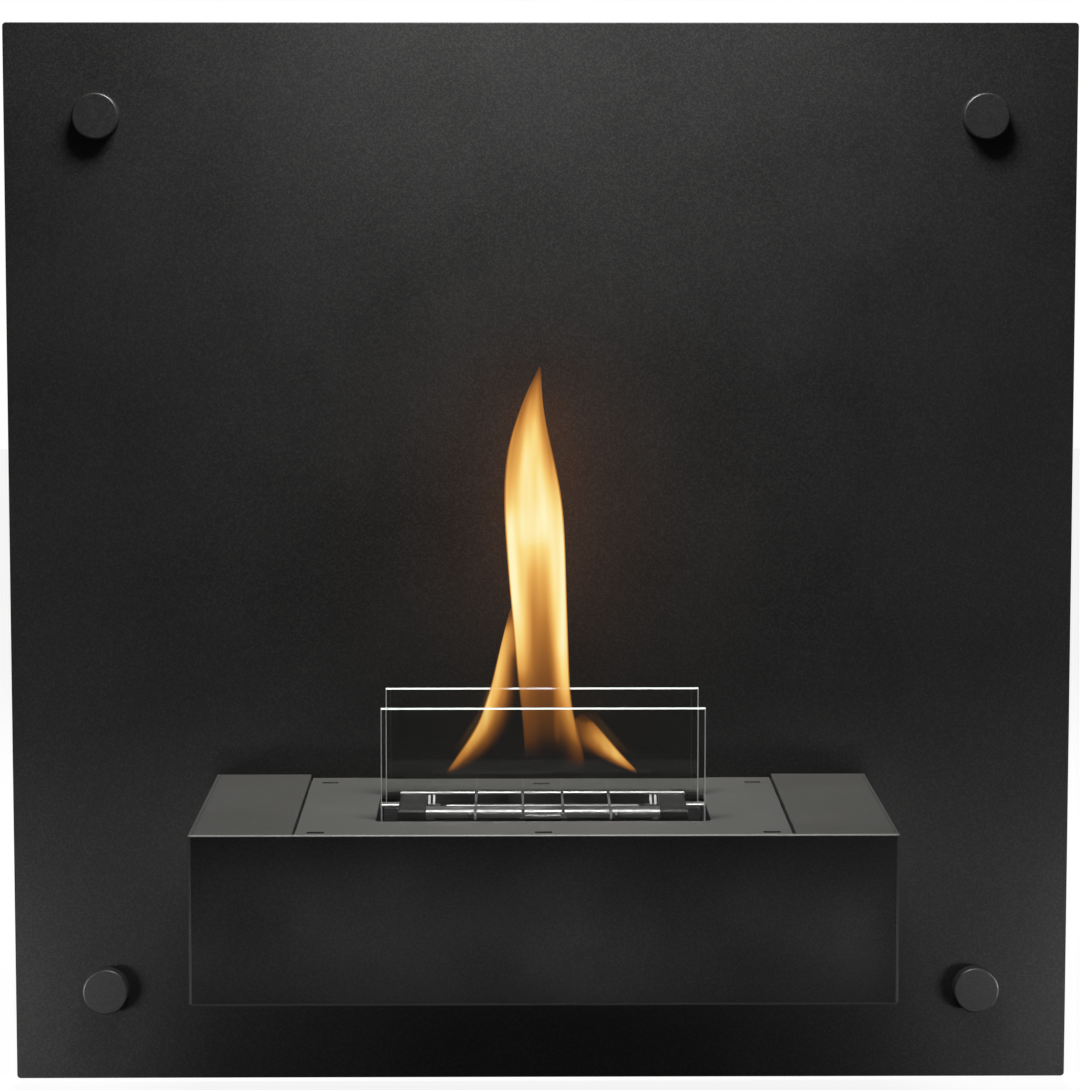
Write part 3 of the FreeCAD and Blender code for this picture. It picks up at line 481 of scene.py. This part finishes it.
FINISHES: dict[Slot, Finish] = {
    # Plate and box: a deep black that stays dull, with a faint sparkle of grains.
    Slot.POWDER_COAT: PowderCoat("black_textured_powder_coat", "#141414", 0.58, pale="#262625", shine=0.28),
    # Burner cover: the black coat painted mid-grey as painted light from above, with a soft, even sheen.
    Slot.COVER_COAT: PowderCoat("satin_grey_powder_coat", "#4a4a48", 0.44, pale="#5b5b58", bump=0.12,
                                clouding=0.06),
    # Well and rails: paint for heat, flat and nearly without a gleam.
    Slot.WELL_COAT: PowderCoat("black_heat_paint", "#0e0e0e", 0.75, pale="#1c1b1a", clouding=0.07),
    # Standoff barrels: bright turned bar.
    Slot.STANDOFF_STEEL: TurnedSteel("turned_steel", "#b3b4b6", 0.32, 1.0),
    # Strips under the glass and washers on the wall: a dull, soft black.
    Slot.RUBBER: MouldedRubber("black_silicone_rubber", "#161616", 0.7),
    # Screws and nuts: bluish white and a little patchy.
    Slot.ZINC_STEEL: ZincPlate("zinc_plated_steel", "#c3c7cc", 0.3, 1.0),
    # Tank, its top, screen and glass channels: grey sheet with streaks along X.
    Slot.STAINLESS: DrawnSteel("brushed_stainless_sheet", "#b4b4b6", 0.34, 1.0, bump=0.03),
    # Front rim, bars, lugs, rivets and hood: clean lines of light along the edges.
    Slot.BRIGHT_STAINLESS: DrawnSteel("polished_stainless", "#b4b4b3", 0.42, 1.0, dull="#a2a2a1",
                                      bump=0.01),
    # End blocks of the burner: a dark coat with a low gleam.
    Slot.DARK_STEEL: PowderCoat("dark_heat_coat", "#1f1f1f", 0.475, pale="#2f2f2e", sand_mm=0.6,
                                clouding=0.075),
    # Block in the tank: chalky white with brown patches.
    Slot.CERAMIC: CeramicFibre("pressed_ceramic_fibre", "#d8d2c4", 0.95),
    # Faces of the panes: clear.
    Slot.CLEAR_GLASS: FloatGlass("clear_float_glass", "#fafbfa", 0.0),
}
# Rear rim, springs and damper round the mouth: a darker copy of the polished steel, painted shade that dims
# their highlights.
STEEL_PAINTED_SHADE = DrawnSteel("satin_stainless", "#6e6e6d", 0.42, 1.0, dull="#626261", bump=0.01)
# End covers of the box and the shell's upper side edges: the black coat painted grey as painted light from
# above, a shade darker than the burner cover.
END_COAT_PAINTED_TOP_LIGHT = PowderCoat("satin_dark_powder_coat", "#40403e", 0.44, pale="#504f4c", bump=0.12, clouding=0.06)
# Edges of the panes: thin pale lines, with a painted glow.
GLASS_EDGE = GroundGlass("ground_glass_edge", "#b4bbb8", 0.45)
# Front edge of the box: a painted highlight, a pale line along the top.
FRONT_EDGE_PAINTED_HIGHLIGHT = PowderCoat("rubbed_powder_coat_edge", "#6c6c69", 0.4, pale="#7e7e7a", bump=0.1, clouding=0.05)
# Bends of the box: a painted highlight, a faint pale line along each.
BEND_PAINTED_HIGHLIGHT = PowderCoat("worn_powder_coat_bend", "#4a4a48", 0.44, pale="#5c5c59", bump=0.1, clouding=0.06)
# Caps: a smoother black, so that their rims catch the light.
CAP_COAT = PowderCoat("satin_black_powder_coat", "#1a1a1a", 0.41, pale="#2b2b2a", bump=0.1, clouding=0.05,
                      shine=0.6)


# Sub-assemblies whose shapes come from the frame

@dataclass
class FramePart:
    """CAD nodes that belong together and keep their shapes."""

    title: str
    nodes: list[str]

    def dress(self, paints: dict[str, bpy.types.Material], slots: dict[str, str]) -> None:
        """Gives each node the finish of its slot.

        Args:
            paints: the materials by slot.
            slots: the slot of each node.
        """
        for name in self.nodes:
            mesh = frame["nodes"][name].data
            mesh.materials.clear()
            mesh.materials.append(paints[slots[name]])
            LOG.info("%s: %s in %s", self.title, name, paints[slots[name]].name)

    def repaint(self, names: Iterable[str], finish: Finish) -> bpy.types.Material:
        """Gives some of the nodes a finish of their own in place of their slot's.

        Args:
            names: these nodes.
            finish: their finish.

        Returns:
            The finish's material.
        """
        paint = finish.material()
        for name in names:
            frame["nodes"][name].data.materials[0] = paint
            LOG.info("%s: %s now in %s", self.title, name, paint.name)
        return paint


@dataclass
class Standoffs(FramePart):
    """The four standoffs: the caps' coat is smoother than the plate's."""

    cap: str = "standoff_cap"

    def dress(self, paints: dict[str, bpy.types.Material], slots: dict[str, str]) -> None:
        """Finishes the standoffs, with the smoother coat on the caps."""
        FramePart.dress(self, paints, slots)
        self.repaint([name for name in self.nodes if name.startswith(self.cap)], CAP_COAT)


@dataclass
class Burner(FramePart):
    """The burner: polished where hands and tools touch it, and round the mouth a darker copy of that steel,
    painted shade that dims its highlights.
    """

    painted_shade_parts: tuple[str, ...] = ("rear_rim", "left_damper_spring", "right_damper_spring", "damper")

    def dress(self, paints: dict[str, bpy.types.Material], slots: dict[str, str]) -> None:
        """Finishes the burner, with the darker steel of painted shade round the mouth."""
        FramePart.dress(self, paints, slots)
        # Painted shade: a darker copy of the polished steel on the parts round the mouth.
        self.repaint(self.painted_shade_parts, STEEL_PAINTED_SHADE)


class ShellFace(IntEnum):
    """The places on the box's shell that differ in painted highlight and painted top light, in the order of
    its materials.
    """

    PLAIN = 0
    BEND = 1
    SIDE_EDGE = 2
    FRONT_EDGE = 3


@dataclass
class Housing(FramePart):
    """The box: end covers in painted light from above, painted highlights on its bends, and a painted
    highlight along its front edge.

    The upper edge is edge_mm deep and faces up by more than upward, as a part of its normal, and the front
    sheet lies within sheet_mm of the front. A face is on a bend if no part of its normal reaches flat.
    """

    shell: str = "box_shell"
    covers: tuple[str, ...] = ("left_end_cover", "right_end_cover")
    edge_mm: float = 1.2
    sheet_mm: float = 2.1
    upward: float = 0.3
    flat: float = 0.99

    def dress(self, paints: dict[str, bpy.types.Material], slots: dict[str, str]) -> None:
        """Coats the box and paints light on the rest: painted top light on the end covers and the shell's
        upper side edges, painted highlights on its front edge and its bends.

        Args:
            paints: the materials by slot.
            slots: the slot of each node.
        """
        FramePart.dress(self, paints, slots)
        # End covers: painted light from above, a lighter grey than the coat of the box.
        painted_top_coat = self.repaint(self.covers, END_COAT_PAINTED_TOP_LIGHT)
        mesh = frame["nodes"][self.shell].data
        # Painted highlights on the bends and the front edge, painted top light on the side edges.
        for paint in (BEND_PAINTED_HIGHLIGHT.material(), painted_top_coat, FRONT_EDGE_PAINTED_HIGHLIGHT.material()):
            mesh.materials.append(paint)
        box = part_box(self.shell)
        for face in mesh.polygons:
            face.material_index = self.place_of(face, box)

    def place_of(self, face: bpy.types.MeshPolygon, box: Box) -> ShellFace:
        """Tells where on the shell a face lies.

        Args:
            face: a face of the shell.
            box: the shell's lowest and highest corner.

        Returns:
            Its place.
        """
        low, high = box
        if face.center.z > high.z - self.edge_mm * MM and face.normal.z > self.upward:
            at_front = face.center.y < low.y + self.sheet_mm * MM
            return ShellFace.FRONT_EDGE if at_front else ShellFace.SIDE_EDGE
        slanted = max(abs(part) for part in face.normal) < self.flat
        return ShellFace.BEND if slanted else ShellFace.PLAIN


class PaneFace(IntEnum):
    """The places on a pane that differ in finish, in the order of its materials."""

    CLEAR = 0
    GROUND = 1


@dataclass
class GlassScreen(FramePart):
    """The two panes: clear on both faces, which look along Y, and ground along their edges, with a painted
    glow.
    """

    facing: float = 0.999

    def dress(self, paints: dict[str, bpy.types.Material], slots: dict[str, str]) -> None:
        """Puts clear glass on the faces and ground glass, with its painted glow, on the edges.

        Args:
            paints: the materials by slot.
            slots: the slot of each node.
        """
        FramePart.dress(self, paints, slots)
        edge = GLASS_EDGE.material()
        for name in self.nodes:
            mesh = frame["nodes"][name].data
            mesh.materials.append(edge)
            for face in mesh.polygons:
                at_edge = abs(face.normal.y) < self.facing
                face.material_index = PaneFace.GROUND if at_edge else PaneFace.CLEAR


# The flame

Heat = tuple[tuple[float, float], ...]

# The height above the burner's top at which every curve of heat has ended.
FLAME_TOP_MM = 240.0
# Burning vapour's colour at each heat, and the share that it hides of what lies behind.
HEAT_COLOURS = ((0.0, "#7a431b"), (0.3, "#b26c2d"), (0.5, "#d48c3e"), (0.7, "#f1b65e"), (0.85, "#fbdc86"),
                (1.0, "#fff4c0"))
HEAT_COVER = ((0.0, 0.0), (0.2, 0.29), (0.45, 0.7), (0.7, 0.96), (1.0, 1.0))
# The attribute that tells how far across its tongue a point lies.
ACROSS = "across"


@dataclass(frozen=True)
class Fire:
    """Burning ethanol vapour: it has no surface that light falls on, and glows on the near side alone."""

    name: str

    def glow(self) -> dict[str, Any]:
        """The values of the light that are the same all over."""
        return {"Emission Strength": 1.0}

    def cover(self, surface: Surface, foot: float) -> bpy.types.NodeSocket:
        """Adds the nodes that say how much of what lies behind is hidden.

        Args:
            surface: the material in the making.
            foot: the height of the burner's top, in metres.

        Returns:
            The output that carries the cover.
        """
        raise NotImplementedError

    def material(self, foot: float) -> bpy.types.Material:
        """Makes the material.

        Args:
            foot: the height of the burner's top, in metres.

        Returns:
            A new material that glows where a piece faces the viewer and lets the rest through.
        """
        black = {"Base Color": linear("#000000"), "Roughness": 1.0, "Specular IOR Level": 0.0}
        material, surface = new_surface(self.name, {**black, **self.glow()})
        material.use_backface_culling = True
        side = add(surface.tree, "NewGeometry")
        near = add(surface.tree, "Math", {"operation": "SUBTRACT", 0: 1.0},
                   {1: side.outputs["Backfacing"]})
        alpha = add(surface.tree, "Math", {"operation": "MULTIPLY"},
                    {0: self.cover(surface, foot), 1: near.outputs["Value"]})
        surface.feed({"Alpha": alpha.outputs["Value"]})
        return material

    def rise(self, surface: Surface, foot: float, height_mm: float) -> bpy.types.NodeSocket:
        """Adds the nodes that measure how high a point lies.

        Args:
            surface: the material in the making.
            foot: the height of the burner's top, in metres.
            height_mm: the height above the foot that counts as 1.

        Returns:
            The output that carries the height, 0 at the foot.
        """
        where = add(surface.tree, "SeparateXYZ", links={"Vector": surface.where})
        rise = add(surface.tree, "MapRange", {"From Min": foot, "From Max": foot + height_mm * MM},
                   {"Value": where.outputs["Z"]})
        return rise.outputs["Result"]


@dataclass(frozen=True)
class FlameSkin(Fire):
    """The skin of a tongue: from clear over orange to nearly white with its heat.

    Heat, from 0 to 1, is given by the height in mm above the burner's top, for the left flank, the middle
    and the right flank of a tongue. A hollow sheath of fire is brightest where one looks along it, at its
    flanks. The turns say between which places across a tongue the middle passes into a flank, and the rim
    says where the outermost edge begins to fade and how much of the heat is left at its end. Wisps drawn
    out along the height make the heat flicker by their share.
    """

    left: Heat
    middle: Heat
    right: Heat
    left_turn: tuple[float, float] = (-0.2, -0.9)
    right_turn: tuple[float, float] = (0.2, 0.9)
    rim: tuple[float, float] = (0.92, 0.5)
    wisp_mm: float = 7.0
    wisp_stretch: Point = (1.0, 1.0, 0.1)
    wisp_share: float = 0.09

    def cover(self, surface: Surface, foot: float) -> bpy.types.NodeSocket:
        """Colours the glow by its heat and works out its cover.

        Args:
            surface: the material in the making.
            foot: the height of the burner's top, in metres.

        Returns:
            The output that carries the cover.
        """
        tree = surface.tree
        across = add(tree, "Attribute", {"attribute_name": ACROSS}).outputs["Fac"]
        heat = self.sheath(tree, self.rise(surface, foot, FLAME_TOP_MM), across)
        for share in (self.fading(tree, across), self.flicker(surface)):
            heat = add(tree, "Math", {"operation": "MULTIPLY"}, {0: heat, 1: share}).outputs["Value"]
        colour = add(tree, "ValToRGB", {"stops": HEAT_COLOURS}, {"Fac": heat})
        surface.feed({"Emission Color": colour.outputs["Color"]})
        return add(tree, "FloatCurve", {"points": HEAT_COVER}, {"Value": heat}).outputs["Value"]

    def sheath(self, tree: bpy.types.NodeTree, rise: bpy.types.NodeSocket,
               across: bpy.types.NodeSocket) -> bpy.types.NodeSocket:
        """Adds the nodes that blend the heat of the middle into that of the flanks.

        Args:
            tree: the material's nodes.
            rise: the height, as a share of the flame's top.
            across: the place across the tongue, from -1 to 1.

        Returns:
            The output that carries the heat.
        """
        left, heat, right = [
            add(tree, "FloatCurve",
                {"points": [(0.0, 0.0), *[(z / FLAME_TOP_MM, share) for z, share in curve], (1.0, 0.0)]},
                {"Value": rise}).outputs["Value"]
            for curve in (self.left, self.middle, self.right)]
        for flank, (start, end) in ((left, self.left_turn), (right, self.right_turn)):
            turn = add(tree, "MapRange",
                       {"interpolation_type": "SMOOTHSTEP", "From Min": start, "From Max": end},
                       {"Value": across})
            heat = add(tree, "Mix", {"data_type": "FLOAT"},
                       {0: turn.outputs["Result"], 2: heat, 3: flank}).outputs[0]
        return heat

    def fading(self, tree: bpy.types.NodeTree, across: bpy.types.NodeSocket) -> bpy.types.NodeSocket:
        """Adds the nodes that let the outermost edge fade.

        Args:
            tree: the material's nodes.
            across: the place across the tongue, from -1 to 1.

        Returns:
            The output that carries the share of the heat that is left.
        """
        start, left_over = self.rim
        reach = add(tree, "Math", {"operation": "ABSOLUTE"}, {0: across})
        rim = add(tree, "MapRange",
                  {"interpolation_type": "SMOOTHSTEP", "From Min": start, "From Max": 1.0,
                   "To Min": 1.0, "To Max": left_over},
                  {"Value": reach.outputs["Value"]})
        return rim.outputs["Result"]

    def flicker(self, surface: Surface) -> bpy.types.NodeSocket:
        """Adds the wisps.

        Args:
            surface: the material in the making.

        Returns:
            The output that carries the factor by which the heat flickers.
        """
        drawn = add(surface.tree, "Mapping", {"Scale": self.wisp_stretch}, {"Vector": surface.where})
        wisps = add(surface.tree, "TexNoise", {"Scale": grain(self.wisp_mm), "Detail": 1.0},
                    {"Vector": drawn.outputs["Vector"]})
        flicker = add(surface.tree, "MapRange",
                      {"From Min": NOISE_LOW, "From Max": NOISE_HIGH,
                       "To Min": 1 - self.wisp_share, "To Max": 1 + self.wisp_share},
                      {"Value": wisps.outputs["Fac"]})
        return flicker.outputs["Result"]


@dataclass(frozen=True)
class FireLight(Fire):
    """The light that the whole fire throws on the plate: it shines from one side of a sheet alone.

    The sheet is twice half_mm wide, stands between low_mm and high_mm above the burner's top and lies
    behind_mm behind the middle of the mouth. It goes out as it sinks to the burner's top.
    """

    name: str = "burning_vapour_light"
    colour: str = "#ff9c50"
    strength: float = 6.6
    half_mm: float = 10.0
    low_mm: float = 90.0
    high_mm: float = 210.0
    behind_mm: float = 12.0

    def glow(self) -> dict[str, Any]:
        """One warm colour all over."""
        return {"Emission Color": linear(self.colour), "Emission Strength": self.strength}

    def cover(self, surface: Surface, foot: float) -> bpy.types.NodeSocket:
        """Full cover at the sheet's own height, and none at the foot."""
        return self.rise(surface, foot, self.low_mm)


@dataclass(frozen=True)
class Station:
    """One level of a tongue, in mm: its middle along X, its height over the burner, half its width."""

    x: float
    z: float
    half: float


@dataclass(frozen=True)
class Tongue:
    """A tongue of flame: its levels from the foot to the tip, and its glow."""

    title: str
    stations: tuple[Station, ...]
    skin: FlameSkin


MAIN_TONGUE = Tongue(
    "main",
    (Station(7, 8, 17), Station(6.7, 22, 16.7), Station(4.6, 34, 15), Station(2.6, 47, 14),
     Station(0.7, 60, 14), Station(-0.7, 88, 14.6), Station(-2.8, 120, 15.6), Station(-4.4, 152, 16.4),
     Station(-5.9, 172, 15), Station(-7, 189, 12.4), Station(-6.6, 204, 8.4), Station(-4.9, 219, 4.6),
     Station(-2.7, 228, 2.2), Station(-1.3, 235, 0.4)),
    FlameSkin(
        "burning_vapour_main",
        left=((18, 0.0), (34, 0.2), (52, 0.3), (62, 0.42), (75, 0.72), (90, 0.88), (122, 1.0), (140, 1.0),
              (165, 0.76), (190, 0.56), (212, 0.44), (224, 0.34), (231, 0.2), (236, 0.08)),
        middle=((22, 0.0), (40, 0.17), (60, 0.26), (75, 0.35), (90, 0.45), (106, 0.56), (122, 0.68),
                (136, 0.82), (150, 0.94), (166, 0.9), (182, 0.86), (198, 0.8), (213, 0.64), (223, 0.46),
                (230, 0.28), (236, 0.1)),
        right=((12, 0.0), (22, 0.16), (31, 0.34), (41, 0.52), (52, 0.62), (62, 0.78), (75, 0.9), (90, 1.0),
               (125, 1.0), (150, 0.9), (168, 0.74), (190, 0.56), (212, 0.44), (224, 0.34), (231, 0.2),
               (236, 0.08))))
LEFT_TONGUE = Tongue(
    "left",
    (Station(-52.4, 12, 1), Station(-46, 16, 5), Station(-37.6, 23, 8.8), Station(-30.6, 31, 10.2),
     Station(-24.8, 41, 9.7), Station(-21.6, 52, 9.4), Station(-19.4, 61, 8.4), Station(-18.8, 74, 6.2),
     Station(-17.6, 90, 3.4), Station(-16.8, 104, 0.6)),
    FlameSkin(
        "burning_vapour_left",
        left=((10, 0.0), (16, 0.3), (23, 0.5), (31, 0.64), (41, 0.74), (52, 0.78), (62, 0.76), (75, 0.72),
              (90, 0.6), (104, 0.2)),
        middle=((10, 0.0), (16, 0.14), (23, 0.24), (31, 0.34), (41, 0.44), (52, 0.52), (62, 0.56),
                (75, 0.6), (90, 0.55), (104, 0.2)),
        right=((10, 0.0), (60, 0.0), (75, 0.12), (90, 0.4), (104, 0.2)),
        left_turn=(-0.1, -0.7), right_turn=(-0.35, 0.85), rim=(0.88, 0.45)))
RIGHT_TONGUE = Tongue(
    "right",
    (Station(51.8, 12.4, 1), Station(45.8, 16, 4.4), Station(38.4, 20.5, 7.4), Station(31.6, 25.5, 9.8),
     Station(26.4, 31, 10.4), Station(23.4, 36.5, 8.8), Station(21.8, 42, 5.4), Station(21, 46, 0.8)),
    FlameSkin(
        "burning_vapour_right",
        left=((10, 0.0), (18, 0.0), (26, 0.06), (34, 0.2), (41, 0.22), (46, 0.05)),
        middle=((10, 0.0), (16, 0.26), (21, 0.38), (26, 0.46), (31, 0.48), (36, 0.42), (41, 0.3),
                (46, 0.1)),
        right=((10, 0.0), (16, 0.42), (21, 0.6), (26, 0.7), (31, 0.68), (36, 0.56), (41, 0.36),
               (46, 0.08)),
        left_turn=(0.3, -0.8), right_turn=(0.0, 0.6), rim=(0.88, 0.45)))
STREAK = Tongue(
    "streak",
    (Station(8.6, 22, 1.4), Station(8, 34, 3), Station(7.8, 52, 3.4), Station(8.4, 70, 3),
     Station(9.4, 84, 1)),
    FlameSkin(
        "burning_vapour_streak",
        left=((22, 0.0), (84, 0.0)),
        middle=((22, 0.0), (36, 0.2), (52, 0.28), (66, 0.22), (84, 0.0)),
        right=((22, 0.0), (84, 0.0))))


@dataclass
class Flame:
    """Tongues of fire that rise from the mouth between the panes.

    A tongue is drawn from a ring with that many sides, whose depth is a share of its width. Points whose
    heights differ by less than the ring step lie in one ring. The share keep is not used.
    """

    mouth: Vector
    tongues: tuple[Tongue, ...] = (MAIN_TONGUE, LEFT_TONGUE, RIGHT_TONGUE, STREAK)
    light: FireLight = FireLight()
    sides: int = 32
    depth_share: float = 0.62
    smooth_levels: int = 2
    ring_step_mm: float = 0.2
    damper_joint: str = "damper_slide"
    body: str = "burner"
    keep: float = 0.02

    def loft(self, tongue: Tongue) -> bpy.types.Object:
        """Draws a tongue up from a ring, level by level.

        Args:
            tongue: the tongue to draw.

        Returns:
            The finished piece, with its place in its mesh.
        """
        start_fresh()
        levels = [self.mouth + Vector((s.x, 0, s.z)) * MM for s in tongue.stations]
        bpy.ops.mesh.primitive_circle_add(vertices=self.sides, radius=tongue.stations[0].half * MM,
                                          fill_type="NGON", location=levels[0])
        piece = bpy.context.object
        piece.name = f"flame_{tongue.title}"
        bpy.ops.object.mode_set(mode="EDIT")
        bpy.ops.mesh.select_all(action="SELECT")
        bpy.ops.transform.resize(value=(1, self.depth_share, 1), center_override=levels[0])
        for (low, high), (before, after) in zip(pairwise(levels), pairwise(tongue.stations)):
            bpy.ops.mesh.extrude_region_move(TRANSFORM_OT_translate={"value": high - low})
            ratio = after.half / before.half
            bpy.ops.transform.resize(value=(ratio, ratio, 1), center_override=high)
        bpy.ops.mesh.select_all(action="SELECT")
        bpy.ops.mesh.normals_make_consistent(inside=False)
        bpy.ops.object.mode_set(mode="OBJECT")
        bpy.ops.object.transform_apply(location=True, rotation=True, scale=True)
        smooth = piece.modifiers.new("smooth", "SUBSURF")
        smooth.levels = smooth.render_levels = self.smooth_levels
        bpy.ops.object.modifier_apply(modifier=smooth.name)
        bpy.ops.object.shade_smooth()
        return piece

    def mark(self, piece: bpy.types.Object) -> None:
        """Notes on each point how far across its tongue it lies, from -1 on the left to 1 on the right.

        Args:
            piece: a tongue's finished piece, whose points lie in level rings.
        """
        marks = piece.data.attributes.new(ACROSS, "FLOAT", "POINT")
        step = self.ring_step_mm * MM
        rings: dict[int, list[bpy.types.MeshVertex]] = {}
        for point in piece.data.vertices:
            rings.setdefault(round(point.co.z / step), []).append(point)
        for ring in rings.values():
            left = min(point.co.x for point in ring)
            right = max(point.co.x for point in ring)
            half = max(right - left, step) / 2
            for point in ring:
                marks.data[point.index].value = (point.co.x - (left + right) / 2) / half

    def sheet(self) -> bpy.types.Object:
        """Stands up the sheet behind the fire that lights the plate.

        Returns:
            The finished piece, with its place in its mesh.
        """
        start_fresh()
        rise = self.light.high_mm - self.light.low_mm
        place = self.mouth + Vector((0, self.light.behind_mm, self.light.low_mm + rise / 2)) * MM
        bpy.ops.mesh.primitive_plane_add(size=MM, location=place, rotation=(-math.pi / 2, 0, 0))
        piece = bpy.context.object
        piece.name = "flame_light"
        bpy.ops.object.mode_set(mode="EDIT")
        bpy.ops.mesh.select_all(action="SELECT")
        bpy.ops.transform.resize(value=(2 * self.light.half_mm, 1, rise), center_override=place)
        bpy.ops.object.mode_set(mode="OBJECT")
        bpy.ops.object.transform_apply(location=True, rotation=True, scale=True)
        return piece

    def tie(self, piece: bpy.types.Object, paint: bpy.types.Material) -> None:
        """Lights a piece and ties it to the burner.

        Args:
            piece: a finished piece of the fire.
            paint: its material.
        """
        piece.data.materials.append(paint)
        piece.visible_shadow = False
        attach(piece, self.body)
        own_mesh(piece)
        LOG.info("flame: %s, %d faces", piece.name, len(piece.data.polygons))

    def build(self) -> None:
        """Makes all tongues and the sheet that lights the plate."""
        for tongue in self.tongues:
            piece = self.loft(tongue)
            piece.visible_glossy = False
            self.mark(piece)
            self.tie(piece, tongue.skin.material(self.mouth.z))
        self.tie(self.sheet(), self.light.material(self.mouth.z))


# The studio

@dataclass(frozen=True)
class SoftLight:
    """A rectangular soft box, whose spread is in degrees."""

    name: str
    place: Point
    aim: Point
    size: tuple[float, float]
    watts: float
    spread: float = 180.0

    def build(self) -> None:
        """Hangs the light and turns it to its aim."""
        data = bpy.data.lights.new(self.name, "AREA")
        data.shape = "RECTANGLE"
        data.size, data.size_y = self.size
        data.energy = self.watts
        data.spread = math.radians(self.spread)
        lamp = bpy.data.objects.new(self.name, data)
        bpy.context.scene.collection.objects.link(lamp)
        lamp.visible_camera = False
        lamp.location = self.place
        lamp.rotation_euler = (Vector(self.aim) - Vector(self.place)).to_track_quat("-Z", "Y").to_euler()
        LOG.info("studio: %s", self.name)


def both_sides(light: SoftLight) -> tuple[SoftLight, SoftLight]:
    """Pairs a light on the right with its mirror image on the left.

    Args:
        light: the light on the right, whose name says so.

    Returns:
        The left light and the right one.
    """
    (x, *place), (aim_x, *aim) = light.place, light.aim
    name = light.name.replace("right", "left")
    return replace(light, name=name, place=(-x, *place), aim=(-aim_x, *aim)), light


@dataclass
class Studio:
    """Pale floor, white surroundings, soft lights, and the camera where the photographer stood.

    The camera's turn is in degrees. Its focal length and the drop of its centre are in the photograph's
    pixels.
    """

    floor_z: float
    floor_size: float = 8.0
    floor_colour: str = "#40403f"
    floor_roughness: float = 0.8
    floor_glow: float = 0.9
    room_light: float = 0.056
    camera_place: Point = (-0.015, -1.72, 0.215)
    camera_turn: Point = (85.286, 0.0, -0.481)
    focal_px: float = 3024.5
    centre_drop_px: float = 120.0
    sensor_mm: float = 36.0
    lights: tuple[SoftLight, ...] = (
        SoftLight("top_soft_box", place=(0.0, -0.24, 0.66), aim=(0.0, -0.023, 0.1), size=(0.3, 0.16),
                  watts=4.8, spread=120.0),
        *both_sides(SoftLight("low_right_fill", place=(0.5, -0.24, -0.28), aim=(0.33, 0.0, -0.3),
                              size=(0.16, 0.04), watts=0.345, spread=90.0)),
        *both_sides(SoftLight("right_fill", place=(0.6, -0.3, -0.05), aim=(0.3, -0.023, -0.05),
                              size=(0.04, 0.3), watts=0.115, spread=70.0)),
        SoftLight("box_front_fill", place=(0.0, -1.1, -0.24), aim=(0.0, -0.183, -0.182),
                  size=(0.44, 0.08), watts=0.037, spread=8.0),
        SoftLight("rear_fill", place=(0.0, 1.1, 0.5), aim=(0.0, 0.0, -0.05), size=(0.8, 0.5), watts=15.0),
    )

    def build_floor(self) -> None:
        """Lays the floor, which glows for the camera alone, so that it is white and throws little light."""
        start_fresh()
        bpy.ops.mesh.primitive_plane_add(size=self.floor_size, location=(0, 0, self.floor_z))
        floor = bpy.context.object
        floor.name = "floor"
        paint, surface = new_surface("pale_floor", {
            "Base Color": linear(self.floor_colour), "Roughness": self.floor_roughness,
            "Emission Color": linear("#ffffff")})
        path = add(surface.tree, "LightPath")
        glow = add(surface.tree, "MapRange", {"To Max": self.floor_glow},
                   {"Value": path.outputs["Is Camera Ray"]})
        surface.feed({"Emission Strength": glow.outputs["Result"]})
        floor.data.materials.append(paint)

    def build_world(self) -> None:
        """White surroundings, dimmer as a light than as a background."""
        world = bpy.data.worlds.new("white_room")
        bpy.context.scene.world = world
        tree = fresh_tree(world)
        path = add(tree, "LightPath")
        strength = add(tree, "MapRange", {"To Min": self.room_light, "To Max": 1.0},
                       {"Value": path.outputs["Is Camera Ray"]})
        sky = add(tree, "Background", {"Color": linear("#ffffff")},
                  {"Strength": strength.outputs["Result"]})
        add(tree, "OutputWorld", links={"Surface": sky.outputs["Background"]})

    def build_camera(self) -> None:
        """Sets up the camera at the photograph's angle and framing."""
        data = bpy.data.cameras.new("photo_camera")
        data.sensor_width = self.sensor_mm
        data.lens = self.focal_px / PHOTO_LONG_SIDE * self.sensor_mm
        data.shift_y = -self.centre_drop_px / PHOTO_LONG_SIDE
        camera = bpy.data.objects.new("photo_camera", data)
        bpy.context.scene.collection.objects.link(camera)
        camera.location = self.camera_place
        camera.rotation_euler = [math.radians(angle) for angle in self.camera_turn]
        bpy.context.scene.camera = camera

    def build(self) -> None:
        """Makes the whole studio."""
        bpy.context.scene.view_settings.view_transform = "Standard"
        self.build_floor()
        self.build_world()
        self.build_camera()
        for light in self.lights:
            light.build()


# Everything in order


def frame_parts() -> list[FramePart]:
    """The sub-assemblies that the frame gives.

    Returns:
        One part for each group of nodes, glass last.
    """
    bodies = frame["record"]["behaviour"]["bodies"]
    plate = ["back_plate"]
    standoffs = [name for name in bodies["wall_panel"] if name.startswith("standoff")]
    housing = [name for name in bodies["wall_panel"] if name not in plate + standoffs]
    return [FramePart("plate", plate), Standoffs("standoffs", standoffs), Housing("housing", housing),
            FramePart("tray", bodies["cover"]), Burner("burner", bodies["burner"] + bodies["damper"]),
            GlassScreen("glass", bodies["front_pane"] + bodies["rear_pane"])]


def mouth_of_burner() -> Vector:
    """The middle of the burner's mouth, level with the burner's top.

    Returns:
        Its place in the frame.
    """
    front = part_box("damper")[1].y
    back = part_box("rear_rim")[0].y
    return Vector((0.0, (front + back) / 2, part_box("front_rim")[1].z))


def main() -> None:
    """Dresses the frame, adds the flame and the studio."""
    logging.basicConfig(level=logging.INFO, format="%(name)s: %(message)s")
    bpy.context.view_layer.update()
    paints = {slot.value: finish.material() for slot, finish in FINISHES.items()}
    slots = {part["node"]: part["material_slot"] for part in frame["record"]["subparts"]}
    for part in frame_parts():
        part.dress(paints, slots)
    Flame(mouth_of_burner()).build()
    Studio(floor_z=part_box("back_plate")[0].z - FLOOR_GAP_MM * MM).build()


if __name__ == "__main__":
    main()
